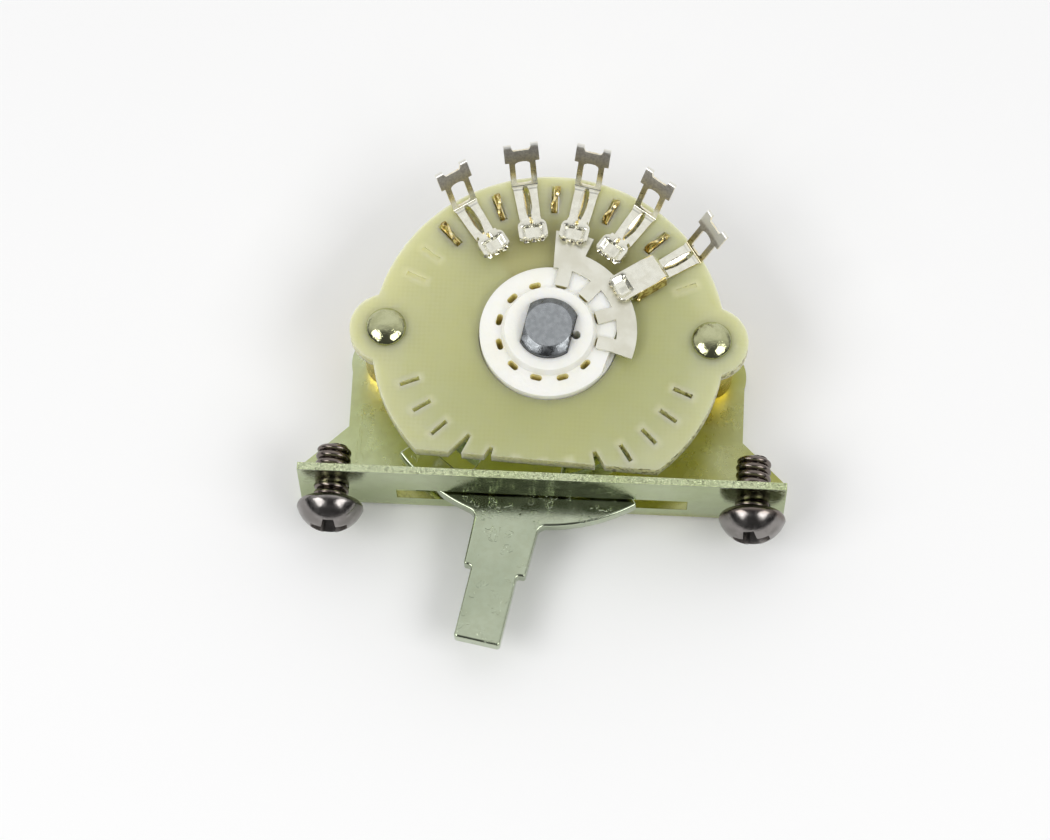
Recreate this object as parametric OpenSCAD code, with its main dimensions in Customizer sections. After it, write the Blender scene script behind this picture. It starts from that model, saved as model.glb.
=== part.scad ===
// Lever selector switch for an electric guitar, open frame, two poles and four positions.
// Origin: on the pivot axis, level with the underside of the base.
// +Z is up along the pivot, +X runs along the mounting plate, -Y is where the lever points out.
// Angles named "round" are degrees clockwise from +Y, seen from above.

/* [Bracket] */
// Length of the mounting plate
plate_len = 47.6; // [45.4:0.1:60]
// Height of the mounting plate, measured from the underside of the base
plate_h = 9.9; // [9:0.1:14]
// Thickness of the bracket's sheet
sheet_t = 0.75; // [0.5:0.05:1.2]
// Distance from the pivot axis to the outer face of the mounting plate
plate_y = 15; // [14.6:0.1:17]
// Inside radius of the fold between plate and base
fold_r = 0.5; // [0.3:0.1:1.5]
// Width of the base between its straight sides
base_w = 39.3; // [34:0.1:45]
// Distance from the pivot axis to where the base starts to flare out
flare_y = 6.9; // [5:0.1:9]
// Distance from the pivot axis to where the flare reaches the plate's ends
flare_end_y = 10.9; // [9.5:0.1:13]
// Width of the lever slot
slot_w = 28.6; // [26:0.1:32]
// Height of the lever slot
slot_h = 2.4; // [1.9:0.1:3]
// Spacing of the two mounting screws
screw_pitch = 41.3; // [38:0.1:43]
// Height of the mounting screws' axis
screw_z = 5.2; // [4.2:0.1:6.5]
// Radius of the raised boss at its top
boss_r = 11.6; // [10.6:0.1:12]
// Height that the boss is raised
boss_h = 1.3; // [1.1:0.05:1.5]
// Radius of the ears of the base round the rivets
base_ear_r = 3.8; // [2.6:0.1:4.5]

/* [Wafer] */
// Thickness of the wafer board
wafer_t = 1.6; // [1:0.1:2.4]
// Length of the spacers between base and wafer
spacer_len = 8.05; // [7.8:0.01:11]
// Radius of the wafer's round outline
wafer_r = 17.35; // [16:0.05:21]
// Distance between the two rivets
rivet_pitch = 32; // [30:0.1:38.4]
// Radius of the ears round the rivets
ear_r = 3.6; // [3.2:0.05:4.5]
// Distance from the pivot axis to the front edge of the wafer
front_y = 13.12; // [12.4:0.02:13.8]
// Slant of the sheared front edge
front_slant = -2.75; // [-4:0.25:4]
// Distance from the wafer's round edge to the clips' bend
bend_inset = 1.2; // [1:0.05:1.4]
// Distance from the clips' bend to the middle of the ring of slots
slot_inset = 1.7; // [1.6:0.05:2]
// Length of a wafer slot that a clip's tab goes through
ring_slot_l = 2.9; // [2.5:0.1:3.2]
// Width of a wafer slot that a clip's tab goes through
ring_slot_w = 0.75; // [0.7:0.05:1]
// Length of a wafer slot that is left empty
spare_slot_l = 2; // [1.4:0.1:3]
// Width of a wafer slot that is left empty
spare_slot_w = 0.45; // [0.3:0.05:0.8]

/* [Rotor] */
// Radius of the rotor's rim
rotor_r = 6.8; // [6.5:0.05:8.4]
// Height that the rotor's rim stands above the wafer, and below it
rotor_proud = 0.8; // [0.6:0.05:1.2]
// Height of the hub above the rim
hub_h = 0.75; // [0.2:0.05:1]
// Radius of the hub
hub_r = 4.35; // [4:0.05:4.8]
// Radius of the ring of small holes
pin_ring_r = 5; // [5:0.05:5.4]
// Thickness of a contact blade
blade_t = 0.3; // [0.2:0.05:0.5]
// Width that a contact blade reaches out past the rotor
blade_reach = 1.85; // [1.5:0.05:2]
// Length of a blade's tab outside its arc
tab_reach = 2; // [1.8:0.05:2.4]

/* [Lever] */
// Angle of the stop that the lever is in, from straight out round towards -X
stop_round = 11.25; // [-33.75:22.5:33.75]
// Angle that the lever hangs back in its loose seat on the shaft
lever_play = 0.65; // [0:0.05:0.9]
// Angle that the rotor runs ahead in its loose seat on the shaft
rotor_play = 0.45; // [0:0.05:0.9]
// Thickness of the lever
lever_t = 1.5; // [1:0.1:1.8]
// Outer radius of the lever's curved flange
flange_r = 18; // [17.4:0.1:19]
// Radial width of the flange
flange_w = 2.9; // [2:0.1:3.2]
// Half of the angle that the flange spans
flange_half = 42; // [36:1:46]
// Width of the stem where it leaves the flange
stem_w = 6.5; // [5.6:0.1:7.6]
// Width of the stem at its shoulders
stem_end_w = 6.2; // [5:0.1:7]
// Distance from the pivot axis to the shoulders of the stem
shoulder_r = 23.2; // [21:0.1:25]
// Width of the lever's tip
tip_w = 4.6; // [4:0.1:5]
// Distance from the pivot axis to the end of the tip
tip_r = 30.6; // [28:0.1:36]

/* [Shaft] */
// Diameter of the shaft
shaft_d = 6.2; // [5.8:0.02:7.5]
// Distance between the shaft's two flats
flats_w = 4.7; // [4.2:0.05:5.2]
// Diameter of the journal that turns in the base
journal_d = 4.8; // [3.6:0.1:5]
// Height of the shaft above the rotor's hub
shaft_proud = 0.95; // [0.1:0.05:2]
// Running clearance on the radius of turning fits
run_gap = 0.05; // [0.02:0.01:0.1]
// Diameter of the two detent balls
ball_d = 3.5; // [3:0.1:3.8]
// Radius of the circle on which the detent balls run
ball_ring_r = 7.9; // [7.4:0.1:8.2]

/* [Clips] */
// Thickness of the clips' spring sheet
clip_t = 0.25; // [0.2:0.05:0.35]
// Width of a clip where its lug bends
clip_w = 2.64; // [2.2:0.02:3]
// Angle of the upper solder lugs from the wafer
lug_angle = 57; // [0:1:70]
// Angle of the lower solder lugs from the wafer
low_lug_angle = 72; // [0:1:80]
// Length of a solder lug
lug_len = 4.6; // [3.5:0.1:6]
// Width of a lug across its ears
lug_ear_w = 3.45; // [3:0.05:4]
// Angle between neighbouring clips on one face
clip_step = 22.5; // [20:0.5:24]

/* [Fasteners] */
// Outside diameter of the thread of the mounting screws
screw_d = 3.46; // [2.8:0.02:4]
// Length of the mounting screws under the head
screw_len = 5.85; // [5:0.05:12]
// Diameter of the screw heads
head_d = 6.55; // [5.6:0.05:7]
// Height of the screw heads
head_h = 3; // [2.2:0.1:3.4]
// Gap between the plate and the left screw head
gap_left = 1.65; // [0:0.05:3]
// Gap between the plate and the right screw head
gap_right = 1; // [0:0.05:3]
// Diameter of the rivet shanks
rivet_d = 2.5; // [2:0.1:3]
// Diameter of the rivet heads
rivet_head_d = 3.95; // [3.4:0.1:4.6]
// Height of the rivet heads
rivet_head_h = 1.1; // [0.6:0.05:1.8]
// Outside diameter of the spacers
spacer_d = 4.76; // [4:0.02:5.4]

/* [Hidden] */

$fn = 96;
eps = 0.01;
far = 100;

// Heights in the stack, from the underside of the base upwards
fold_out_r = fold_r + sheet_t;
boss_top = boss_h + sheet_t;
wafer_z0 = sheet_t + spacer_len;
wafer_z1 = wafer_z0 + wafer_t;
rim_z0 = wafer_z0 - rotor_proud;
rim_z1 = wafer_z1 + rotor_proud;
hub_z0 = rim_z0 - hub_h;
hub_z1 = rim_z1 + hub_h;
shaft_top = hub_z1 + shaft_proud;
washer_t = 0.3;
collar_h = 1.05;
collar_z0 = boss_top + washer_t;
lever_z0 = collar_z0 + collar_h;
lever_z1 = lever_z0 + lever_t;
slot_z = (lever_z0 + lever_z1) / 2;

// The base
rivet_x = rivet_pitch / 2;
rear_disc_r = 14.2;
boss_slope = 1.0;
boss_wall = sheet_t / 2;
detent_step = 22.5;
detent_stops = 4;
detent_hole_d = 2.2;
tap_gap = 0.02;

// The wafer
outline_dy = -0.4;
blind_depth = 0.15;
blind_slots = [-67.5, -56.25, 67.5];
spare_slots = [-135, -123.75, -112.5, 112.5, 123.75, 135, 146.25];
edge_notches = [-157.5, -146.25, 157.5];
notch_in_w = 0.4;
notch_out_w = 1.3;
slot_ring_r = wafer_r - bend_inset - slot_inset;
lead_round = -clip_step * 1.5;
top_rounds = [for (i = [0:4]) lead_round + i * clip_step];
bottom_rounds = [for (i = [0:4]) lead_round - clip_step / 2 + i * clip_step];

// Where the turning pieces stand in the stop
lever_round = stop_round - lever_play;
rotor_round = stop_round + rotor_play;

// The rotor and its blades
rotor_hole_r = rotor_r + 2 * run_gap;
pin_hole_l = 1.2;
pin_hole_w = 0.6;
pin_count = 12;
keyhole_r = 0.45;
rim_flat_round = 94.3;
rim_flat_r = rotor_r * 0.927;
blade_in_r = rotor_r - 0.12;
blade_r = rotor_r + blade_reach;
tab_r = blade_r + tab_reach;
tab_half = 10.4;
blade_end = 96.25;
tooth_w = 1.36;
tooth_fold = 1.2;

// The lever
stem_in_w = 8.2;
hub_disc_r = 10.4;
inner_fillet = 1.6;
outer_fillet = 0.9;
fill_overlap = 0.2;
tip_corner = 0.35;

// The shaft and the detent
ring_groove_d = journal_d - 1;
ring_t = 0.6;
ring_d = journal_d + 3.4;
ring_mouth = ring_groove_d * 0.84;
ring_play = 0.02;
ring_z0 = boss_h - ring_t - run_gap;
journal_end = 0.45;
journal_z0 = ring_z0 - journal_end;
shaft_collar_d = shaft_d + 2.8;
end_d_share = 0.73;
end_h = 0.6;
ball_lift = 0.02;
ball_z = boss_top + ball_lift + ball_d / 2;
ball_gap = 0.1;
seat_gap = 0.035;
press_gap = 0.01;
spring_t = 0.3;
spring_w = 4.4;
spring_half = ball_ring_r + 1.8;
spring_rest = ball_ring_r - 0.9;
spring_flat = shaft_d / 2 + 0.8;
spring_disc_r = shaft_d / 2 + 1.3;
spring_collar_d = shaft_d + 1.6;
spring_collar_h = 1.3;

// The clips
bend_r = wafer_r - bend_inset;
neck_share = 0.23;
neck_r = tab_r + (bend_r - tab_r) * neck_share;
neck_w = 1.9;
jaw_w = 2.86;
jaw_tip_r = tab_r - 1.2;
long_jaw_tip_r = blade_r - 1.15;
long_leaf_w = jaw_w - 0.2;
long_shift = 0.65;
long_strip_l = 4.4;
long_step_r = bend_r + long_shift - long_strip_l;
long_in_r = long_step_r + 0.25;
tab_t = 0.28;
tab_len = ring_slot_l - 0.15;
tab_drop = 0.35;
flank_step = 0.1;
flank_gap = 0.04;
flank_foot = 0.11;
stake_h = 0.65;
stake_low_h = 0.4;
stake_turn = 10;
outer_share = 0.95;
inner_share = 0.8;
lead_gap = 0.03;
fuse_lap = 0.1;
throw_count = 4;
strip_lap = 0.35;
neck_lap = 0.28;
waist_grow = 0.2;
square_end = 0.5;
throw_riser = 0.7;
crest_share = 0.7;
foot_share = 1.1;
leaf_sag = 0.05;
low_tip_back = 0.15;
common_riser = 0.3;
long_flare_at = 2.3;
lens_from = 0.5;
lens_half_w = 0.42;
jaw_flare = 0.9;
jaw_cheek_r = 0.75;
lip_share = 0.45;
lip_pitch_share = 0.8;
lip_sink = 0.06;
grip_in = 0.75;
leaf_bow = 0.2;
lip_rise = 0.28;
lug_win_w = 1.5;
lug_win_from = 0.5;
lug_win_share = 0.66;
arch_share = 0.4;
win_corner_r = 0.3;
lug_ear_share = 0.63;
lug_dip = 0.33;
notch_share = 0.56;
dip_slope = 0.6;
ear_lap = 0.05;
ear_tip_angle = 60;
ear_tip_len = 0.42;

// The screws and rivets
head_under_h = 0.65;
head_under_share = 0.84;
cross_w = 1.05;
cross_l = 3.5;
cross_depth = 1.9;
rivet_bore_d = rivet_d + 0.1;
rivet_sink_d = 3.7;
rivet_sink_h = 0.5;
rivet_side_h = 0.3;

// Places its children at an angle round the pivot, built along +Y
module at_round(a) {
    rotate([0, 0, -a])
        children();
}

// Extrudes a side view, drawn as distance out and height, across a width
module across(w) {
    translate([-w / 2, 0, 0])
        rotate([90, 0, 90])
            linear_extrude(w)
                children();
}

// The round bar with two flats, grown by a clearance
module double_d(gap) {
    intersection() {
        circle(d = shaft_d + 2 * gap);
        square([flats_w + 2 * gap, shaft_d + 1], center = true);
    }
}

// A sector of a ring, from one angle to another round from +Y
module ring_sector(r_in, r_out, from, to) {
    reach = r_out * 1.6;
    steps = 6;
    difference() {
        intersection() {
            circle(r_out);
            polygon(concat([[0, 0]], [for (i = [0:steps])
                let (a = from + (to - from) * i / steps)
                reach * [sin(a), cos(a)]]));
        }
        circle(r_in);
    }
}

// Bracket: one folded sheet

// Side view of the folded sheet
module fold_profile() {
    translate([-plate_y, fold_out_r])
        square([sheet_t, plate_h - fold_out_r]);
    translate([-plate_y + fold_out_r, 0])
        square([fold_out_r, sheet_t]);
    translate([-plate_y + fold_out_r, fold_out_r])
        intersection() {
            difference() {
                circle(fold_out_r);
                circle(fold_r);
            }
            translate([-fold_out_r, -fold_out_r])
                square(fold_out_r);
        }
}

// Outline of the base, with its flares, ears and round back
module base_outline() {
    root_y = -plate_y + fold_out_r;
    polygon([
        [-plate_len / 2, root_y],
        [plate_len / 2, root_y],
        [plate_len / 2, -flare_end_y],
        [base_w / 2, -flare_y],
        [base_w / 2, 0],
        [-base_w / 2, 0],
        [-base_w / 2, -flare_y],
        [-plate_len / 2, -flare_end_y]]);
    circle(rear_disc_r);
    for (s = [-1, 1])
        translate([s * rivet_x, 0])
            circle(base_ear_r);
    back_x = rear_disc_r * 0.8;
    back_y = rear_disc_r * 0.6;
    polygon([
        [-rivet_x, 0],
        [rivet_x, 0],
        [rivet_x, base_ear_r],
        [back_x, back_y],
        [-back_x, back_y],
        [-rivet_x, base_ear_r]]);
}

// The raised boss that carries the pivot, as one pressed dish
module boss() {
    foot_r = boss_r + boss_slope;
    rotate_extrude()
        polygon([
            [0, boss_h],
            [boss_r - boss_wall, boss_h],
            [foot_r - boss_wall, 0],
            [foot_r + sheet_t, 0],
            [foot_r + sheet_t, sheet_t],
            [foot_r, sheet_t],
            [boss_r, boss_top],
            [0, boss_top]]);
}

module bracket() {
    color("#b9c48c")
        difference() {
            union() {
                across(plate_len)
                    fold_profile();
                difference() {
                    linear_extrude(sheet_t)
                        base_outline();
                    translate([0, 0, -eps])
                        cylinder(r = boss_r + boss_slope, h = sheet_t + 2 * eps);
                }
                boss();
            }
            // Slot for the lever
            translate([-slot_w / 2, -plate_y - 1, slot_z - slot_h / 2])
                cube([slot_w, sheet_t + 2, slot_h]);
            // Tapped holes for the mounting screws
            for (s = [-1, 1])
                translate([s * screw_pitch / 2, -plate_y - 1, screw_z])
                    rotate([-90, 0, 0])
                        cylinder(d = screw_d + 2 * tap_gap, h = sheet_t + 2);
            // Bearing hole for the journal
            cylinder(d = journal_d + 2 * run_gap, h = far, center = true);
            // Detent holes, one for each ball in each position
            for (side = [-90, 90], i = [0:detent_stops - 1])
                at_round(side + detent_step * (i - (detent_stops - 1) / 2))
                    translate([0, ball_ring_r, 0])
                        cylinder(d = detent_hole_d, h = far, center = true);
            // Countersunk holes for the rivets
            for (s = [-1, 1])
                translate([s * rivet_x, 0, -eps])
                    rivet_hole();
        }
}

module rivet_hole() {
    cylinder(d = rivet_bore_d, h = sheet_t + 2 * eps);
    cylinder(d1 = rivet_sink_d, d2 = rivet_bore_d, h = rivet_sink_h);
}

// Wafer: one board with a ring of slots

module wafer_outline() {
    difference() {
        union() {
            translate([0, outline_dy])
                circle(wafer_r);
            for (s = [-1, 1])
                translate([s * rivet_x, 0])
                    circle(ear_r);
        }
        // Sheared front edge
        rotate([0, 0, front_slant])
            translate([-far / 2, -front_y - far])
                square([far, far]);
    }
}

module ring_slot(a, w, l) {
    at_round(a)
        translate([-w / 2, slot_ring_r - l / 2])
            square([w, l]);
}

// Slot cut open by the front edge, which widens towards it
module edge_notch(a) {
    r_in = slot_ring_r - ring_slot_l / 2;
    r_out = r_in + ring_slot_l;
    at_round(a)
        polygon([
            [-notch_in_w / 2, r_in],
            [notch_in_w / 2, r_in],
            [notch_out_w / 2, r_out],
            [-notch_out_w / 2, r_out]]);
}

module wafer() {
    color("#cfcf9a")
        difference() {
            translate([0, 0, wafer_z0])
                linear_extrude(wafer_t)
                    difference() {
                        wafer_outline();
                        circle(rotor_hole_r);
                        for (s = [-1, 1])
                            translate([s * rivet_x, 0])
                                circle(d = rivet_bore_d);
                        for (a = concat(top_rounds, bottom_rounds))
                            ring_slot(a, ring_slot_w, ring_slot_l);
                        for (a = spare_slots)
                            ring_slot(a, spare_slot_w, spare_slot_l);
                        for (a = edge_notches)
                            edge_notch(a);
                    }
            // Slots that are closed below the surface
            translate([0, 0, wafer_z1 - blind_depth])
                linear_extrude(1)
                    for (a = blind_slots)
                        ring_slot(a, spare_slot_w, spare_slot_l);
        }
}

// Spacers and rivets

module spacer(s) {
    color("#c9a24a")
        translate([s * rivet_x, 0, sheet_t])
            difference() {
                cylinder(d = spacer_d, h = spacer_len);
                translate([0, 0, -1])
                    cylinder(d = rivet_bore_d, h = spacer_len + 2);
            }
}

// Domed head, shank through wafer, spacer and base, and a tail pressed flush
module rivet(s) {
    head_r = rivet_head_d / 2;
    dome_h = rivet_head_h - rivet_side_h;
    ball_r = (head_r * head_r + dome_h * dome_h) / (2 * dome_h);
    color("#d4d6d0")
        translate([s * rivet_x, 0, 0]) {
            translate([0, 0, wafer_z1])
                cylinder(r = head_r, h = rivet_side_h);
            translate([0, 0, wafer_z1 + rivet_side_h])
                intersection() {
                    translate([0, 0, dome_h - ball_r])
                        sphere(ball_r);
                    cylinder(r = head_r + 1, h = dome_h + 1);
                }
            cylinder(d = rivet_d, h = wafer_z1 + eps);
            cylinder(d1 = rivet_sink_d - 0.1, d2 = rivet_d, h = rivet_sink_h);
        }
}

// Rotor and blades

// Small oval hole, drawn at its place on the ring
module pin_hole(a) {
    at_round(a)
        translate([0, pin_ring_r]) {
            square([pin_hole_l - pin_hole_w, pin_hole_w], center = true);
            for (s = [-1, 1])
                translate([s * (pin_hole_l - pin_hole_w) / 2, 0])
                    circle(d = pin_hole_w, $fn = 24);
        }
}

module rotor() {
    color("#efeee2")
        at_round(rotor_round)
            difference() {
                union() {
                    translate([0, 0, rim_z0])
                        cylinder(r = rotor_r, h = rim_z1 - rim_z0);
                    translate([0, 0, rim_z1 - eps])
                        cylinder(r1 = hub_r + 0.3, r2 = hub_r, h = hub_h + eps);
                    translate([0, 0, hub_z0])
                        cylinder(r1 = hub_r, r2 = hub_r + 0.3, h = hub_h + eps);
                }
                // Flat on the rim above the wafer
                at_round(rim_flat_round)
                    translate([-rotor_r, rim_flat_r, wafer_z1])
                        cube([2 * rotor_r, rotor_r, rotor_proud + 1]);
                translate([0, 0, hub_z0 - 1])
                    linear_extrude(hub_z1 - hub_z0 + 2) {
                        double_d(run_gap);
                        translate([flats_w / 2 + run_gap + keyhole_r * 0.8, 0])
                            circle(keyhole_r, $fn = 32);
                        for (i = [0:pin_count - 1])
                            pin_hole(i * 360 / pin_count);
                    }
            }
}

// Flat outline of a blade: tab, arc and the four teeth before they are folded
module blade_outline(shift) {
    ring_sector(blade_in_r, blade_r, shift, blade_end);
    ring_sector(blade_in_r, tab_r, shift - tab_half, shift + tab_half);
    for (i = [0:3])
        at_round(30 * i)
            translate([-tooth_w / 2, pin_ring_r - blade_t / 2])
                square([tooth_w, blade_in_r - pin_ring_r + 0.4]);
}

// Blade with its teeth folded into the rotor's holes, lying on z = 0
module blade(shift) {
    linear_extrude(blade_t)
        blade_outline(shift);
    for (i = [0:3])
        at_round(30 * i)
            translate([-(pin_hole_l - 0.2) / 2, pin_ring_r - blade_t / 2, -tooth_fold])
                cube([pin_hole_l - 0.2, blade_t, tooth_fold + blade_t]);
}

module blade_top() {
    color("#c8c6bd")
        at_round(rotor_round)
            translate([0, 0, rim_z1])
                blade(0);
}

// The lower blade is stamped with its tab half a step back from its teeth
module blade_bottom() {
    color("#c8c6bd")
        at_round(rotor_round)
            translate([0, 0, rim_z0])
                mirror([0, 0, 1])
                    blade(-clip_step / 2);
}

// Shaft, its bearing parts and the detent

module shaft() {
    turned_h = collar_z0 + collar_h - journal_z0;
    bar_h = shaft_top - lever_z0;
    color("#3d4148")
        at_round(stop_round) {
            difference() {
                union() {
                    translate([0, 0, journal_z0])
                        cylinder(d = journal_d, h = turned_h);
                    translate([0, 0, collar_z0])
                        cylinder(d = shaft_collar_d, h = collar_h);
                }
                // Groove for the retaining ring
                translate([0, 0, ring_z0])
                    difference() {
                        cylinder(d = journal_d + 1, h = ring_t);
                        translate([0, 0, -1])
                            cylinder(d = ring_groove_d, h = ring_t + 2);
                    }
            }
            // Bar with two flats, coned round its top
            translate([0, 0, lever_z0])
                intersection() {
                    translate([0, 0, -eps])
                        linear_extrude(bar_h + eps)
                            double_d(0);
                    union() {
                        translate([0, 0, -1])
                            cylinder(d = shaft_d + 1, h = bar_h + 1 - end_h);
                        translate([0, 0, bar_h - end_h])
                            cylinder(d1 = shaft_d, d2 = shaft_d * end_d_share, h = end_h);
                    }
                }
        }
}

module thrust_washer() {
    color("#c9a24a")
        translate([0, 0, boss_top])
            difference() {
                cylinder(d = shaft_collar_d, h = washer_t - ring_play);
                translate([0, 0, -1])
                    cylinder(d = journal_d + 2 * run_gap, h = 3);
            }
}

// Open ring snapped into the groove under the boss
module retaining_ring() {
    color("#8f918f")
        at_round(stop_round)
            translate([0, 0, ring_z0 + ring_play])
                linear_extrude(ring_t - 2 * ring_play)
                    difference() {
                        circle(d = ring_d);
                        circle(d = ring_groove_d + 2 * ring_play);
                        translate([-ring_mouth / 2, 0])
                            square([ring_mouth, ring_d]);
                    }
}

// Each ball sits in its own hole in the lever, a quarter turn from the stem
module detent_ball(s) {
    color("#c9cbcc")
        at_round(stop_round)
            translate([s * ball_ring_r, 0, ball_z])
                sphere(d = ball_d);
}

// Bowed leaf that presses both balls down, held at its middle by the collar
module detent_spring() {
    low = lever_z1;
    high = ball_z + ball_d / 2;
    bow = [
        [-spring_half, high],
        [-spring_half, high + spring_t],
        [-spring_rest, high + spring_t],
        [-spring_flat, low + spring_t],
        [spring_flat, low + spring_t],
        [spring_rest, high + spring_t],
        [spring_half, high + spring_t],
        [spring_half, high],
        [spring_rest, high],
        [spring_flat, low],
        [-spring_flat, low],
        [-spring_rest, high]];
    color("#a9a79c")
        at_round(stop_round)
            intersection() {
                rotate([90, 0, 0])
                    translate([0, 0, -spring_disc_r])
                        linear_extrude(2 * spring_disc_r)
                            polygon(bow);
                // The strip is wide round the shaft and narrow over the balls
                linear_extrude(far)
                    difference() {
                        union() {
                            circle(spring_disc_r);
                            square([2 * spring_half + 1, spring_w], center = true);
                        }
                        double_d(run_gap);
                    }
            }
}

module spring_collar() {
    color("#a9a79c")
        at_round(stop_round)
            translate([0, 0, lever_z1 + spring_t])
                linear_extrude(spring_collar_h)
                    difference() {
                        circle(d = spring_collar_d);
                        double_d(press_gap);
                    }
}

// Lever: one flat stamping, built pointing along -Y

// Rounds the corner between the stem's side and the flange's arc, outside the arc or inside it
module root_fillet(half, arc_r, r, outside, side) {
    away = outside ? 1 : -1;
    centre_r = arc_r + away * r;
    cx = half + r;
    cy = -sqrt(centre_r * centre_r - cx * cx);
    inward = (arc_r - away * fill_overlap) / centre_r;
    stem_x = half - fill_overlap;
    mirror([side < 0 ? 1 : 0, 0])
        difference() {
            polygon(outside
                ? [[stem_x, cy], [cx, cy], [cx * inward, cy * inward], [stem_x, cy * inward]]
                : [[stem_x, -arc_r - fill_overlap], [cx * inward, cy * inward], [cx, cy], [stem_x, cy]]);
            translate([cx, cy])
                circle(r);
        }
}

module lever_outline() {
    half_in = stem_in_w / 2;
    half_out = stem_w / 2;
    flange_in = flange_r - flange_w;
    stem_y0 = flange_r - flange_w * 0.3;
    taper = (stem_w - stem_end_w) / 2 * (flange_r + outer_fillet - stem_y0) / (shoulder_r - stem_y0);
    difference() {
        union() {
            circle(hub_disc_r);
            translate([-half_in, -flange_in - flange_w / 2])
                square([stem_in_w, flange_in + flange_w / 2]);
            rotate([0, 0, 180])
                ring_sector(flange_in, flange_r, -flange_half, flange_half);
            // Stem, which narrows towards its shoulders
            polygon([
                [-stem_end_w / 2, -shoulder_r],
                [stem_end_w / 2, -shoulder_r],
                [half_out, -stem_y0],
                [-half_out, -stem_y0]]);
            // Tip with rounded corners
            translate([-tip_w / 2, -tip_r + tip_corner])
                square([tip_w, tip_r - shoulder_r]);
            translate([-tip_w / 2 + tip_corner, -tip_r])
                square([tip_w - 2 * tip_corner, 2 * tip_corner]);
            for (s = [-1, 1])
                translate([s * (tip_w / 2 - tip_corner), -tip_r + tip_corner])
                    circle(tip_corner + eps, $fn = 32);
            // Fillets where the stem meets the flange
            for (s = [-1, 1]) {
                root_fillet(half_in, flange_in, inner_fillet, false, s);
                root_fillet(half_out - taper, flange_r, outer_fillet, true, s);
            }
        }
        double_d(seat_gap);
        rotate([0, 0, -lever_play])
            for (s = [-1, 1])
                translate([s * ball_ring_r, 0])
                    circle(d = ball_d + 2 * ball_gap);
    }
}

module lever() {
    color("#bcc0b4")
        at_round(lever_round)
            translate([0, 0, lever_z0])
                linear_extrude(lever_t)
                    lever_outline();
}

// Clips: folded spring contacts, drawn along +Y with z = 0 on the wafer's face

// Lens-shaped opening left where the holding tab was cut free and folded down
module lens(r0, r1, half_w) {
    half_l = (r1 - r0) / 2;
    bow_r = (half_l * half_l + half_w * half_w) / (2 * half_w);
    translate([0, (r0 + r1) / 2])
        intersection() {
            translate([bow_r - half_w, 0])
                circle(bow_r);
            translate([half_w - bow_r, 0])
                circle(bow_r);
        }
}

// Tapered strip that lies on the wafer, with its lens and the small hole at its neck
module clip_strip(r_in, r_out) {
    waist = neck_w + waist_grow;
    linear_extrude(clip_t)
        difference() {
            polygon([
                [-neck_w / 2, r_in - neck_lap],
                [neck_w / 2, r_in - neck_lap],
                [waist / 2, r_in + waist],
                [clip_w / 2, r_out - square_end],
                [clip_w / 2, r_out],
                [-clip_w / 2, r_out],
                [-clip_w / 2, r_out - square_end],
                [-waist / 2, r_in + waist]]);
            lens(r_in + lens_from, r_out - fuse_lap, lens_half_w);
        }
}

// Tab through the wafer's slot, with its two halves spread on the far side
module clip_tab(r_in, r_out) {
    half = tab_len / 2;
    outer_l = half * outer_share;
    inner_l = half * inner_share;
    translate([-tab_t / 2, slot_ring_r - half, -wafer_t])
        cube([tab_t, tab_len, wafer_t - tab_drop + fuse_lap]);
    // Flank that runs down from the left side of the lens
    intersection() {
        translate([0, slot_ring_r + half - fuse_lap, 0])
            rotate([90, 0, 0])
                linear_extrude(tab_len - 2 * fuse_lap)
                    polygon([
                        [-lens_half_w - fuse_lap, clip_t - flank_step],
                        [-lens_half_w - fuse_lap, 0],
                        [-ring_slot_w / 2 + flank_gap, 0],
                        [-flank_foot, -tab_drop],
                        [flank_foot, -tab_drop],
                        [-tab_t, clip_t - 1.5 * flank_step]]);
        translate([0, 0, -1])
            linear_extrude(2)
                lens(r_in + lens_from - fuse_lap, r_out, lens_half_w + fuse_lap / 2);
    }
    // Outer half, turned one way
    translate([0, slot_ring_r + half, -wafer_t])
        rotate([0, 0, stake_turn])
            translate([-tab_t / 2, -outer_l, -stake_h])
                cube([tab_t, outer_l, stake_h + fuse_lap]);
    // Inner half, shorter and turned the other way
    translate([0, slot_ring_r - half, -wafer_t])
        rotate([0, 0, -stake_turn])
            translate([-tab_t / 2, 0, -stake_low_h])
                cube([tab_t, inner_l, stake_low_h + fuse_lap]);
}

// Outline of a jaw from above: it widens from its root and ends in three small lips
module jaw_outline(r_tip, r_root, root_w) {
    half = jaw_w / 2;
    lip_d = jaw_w / 3;
    lip_r = lip_d * lip_share;
    cheek_r = jaw_cheek_r;
    cheek_x = half - cheek_r;
    cheek_y = r_tip + lip_r + cheek_r + lip_sink;
    polygon([
        [-half, r_root - jaw_flare],
        [-half, cheek_y],
        [-cheek_x, cheek_y - cheek_r],
        [cheek_x, cheek_y - cheek_r],
        [half, cheek_y],
        [half, r_root - jaw_flare],
        [root_w / 2, r_root],
        [-root_w / 2, r_root]]);
    for (s = [-1, 1])
        translate([s * cheek_x, cheek_y])
            circle(cheek_r + eps, $fn = 32);
    for (i = [-1:1])
        translate([i * lip_d * lip_pitch_share, r_tip + lip_r])
            circle(lip_r, $fn = 24);
}

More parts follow.
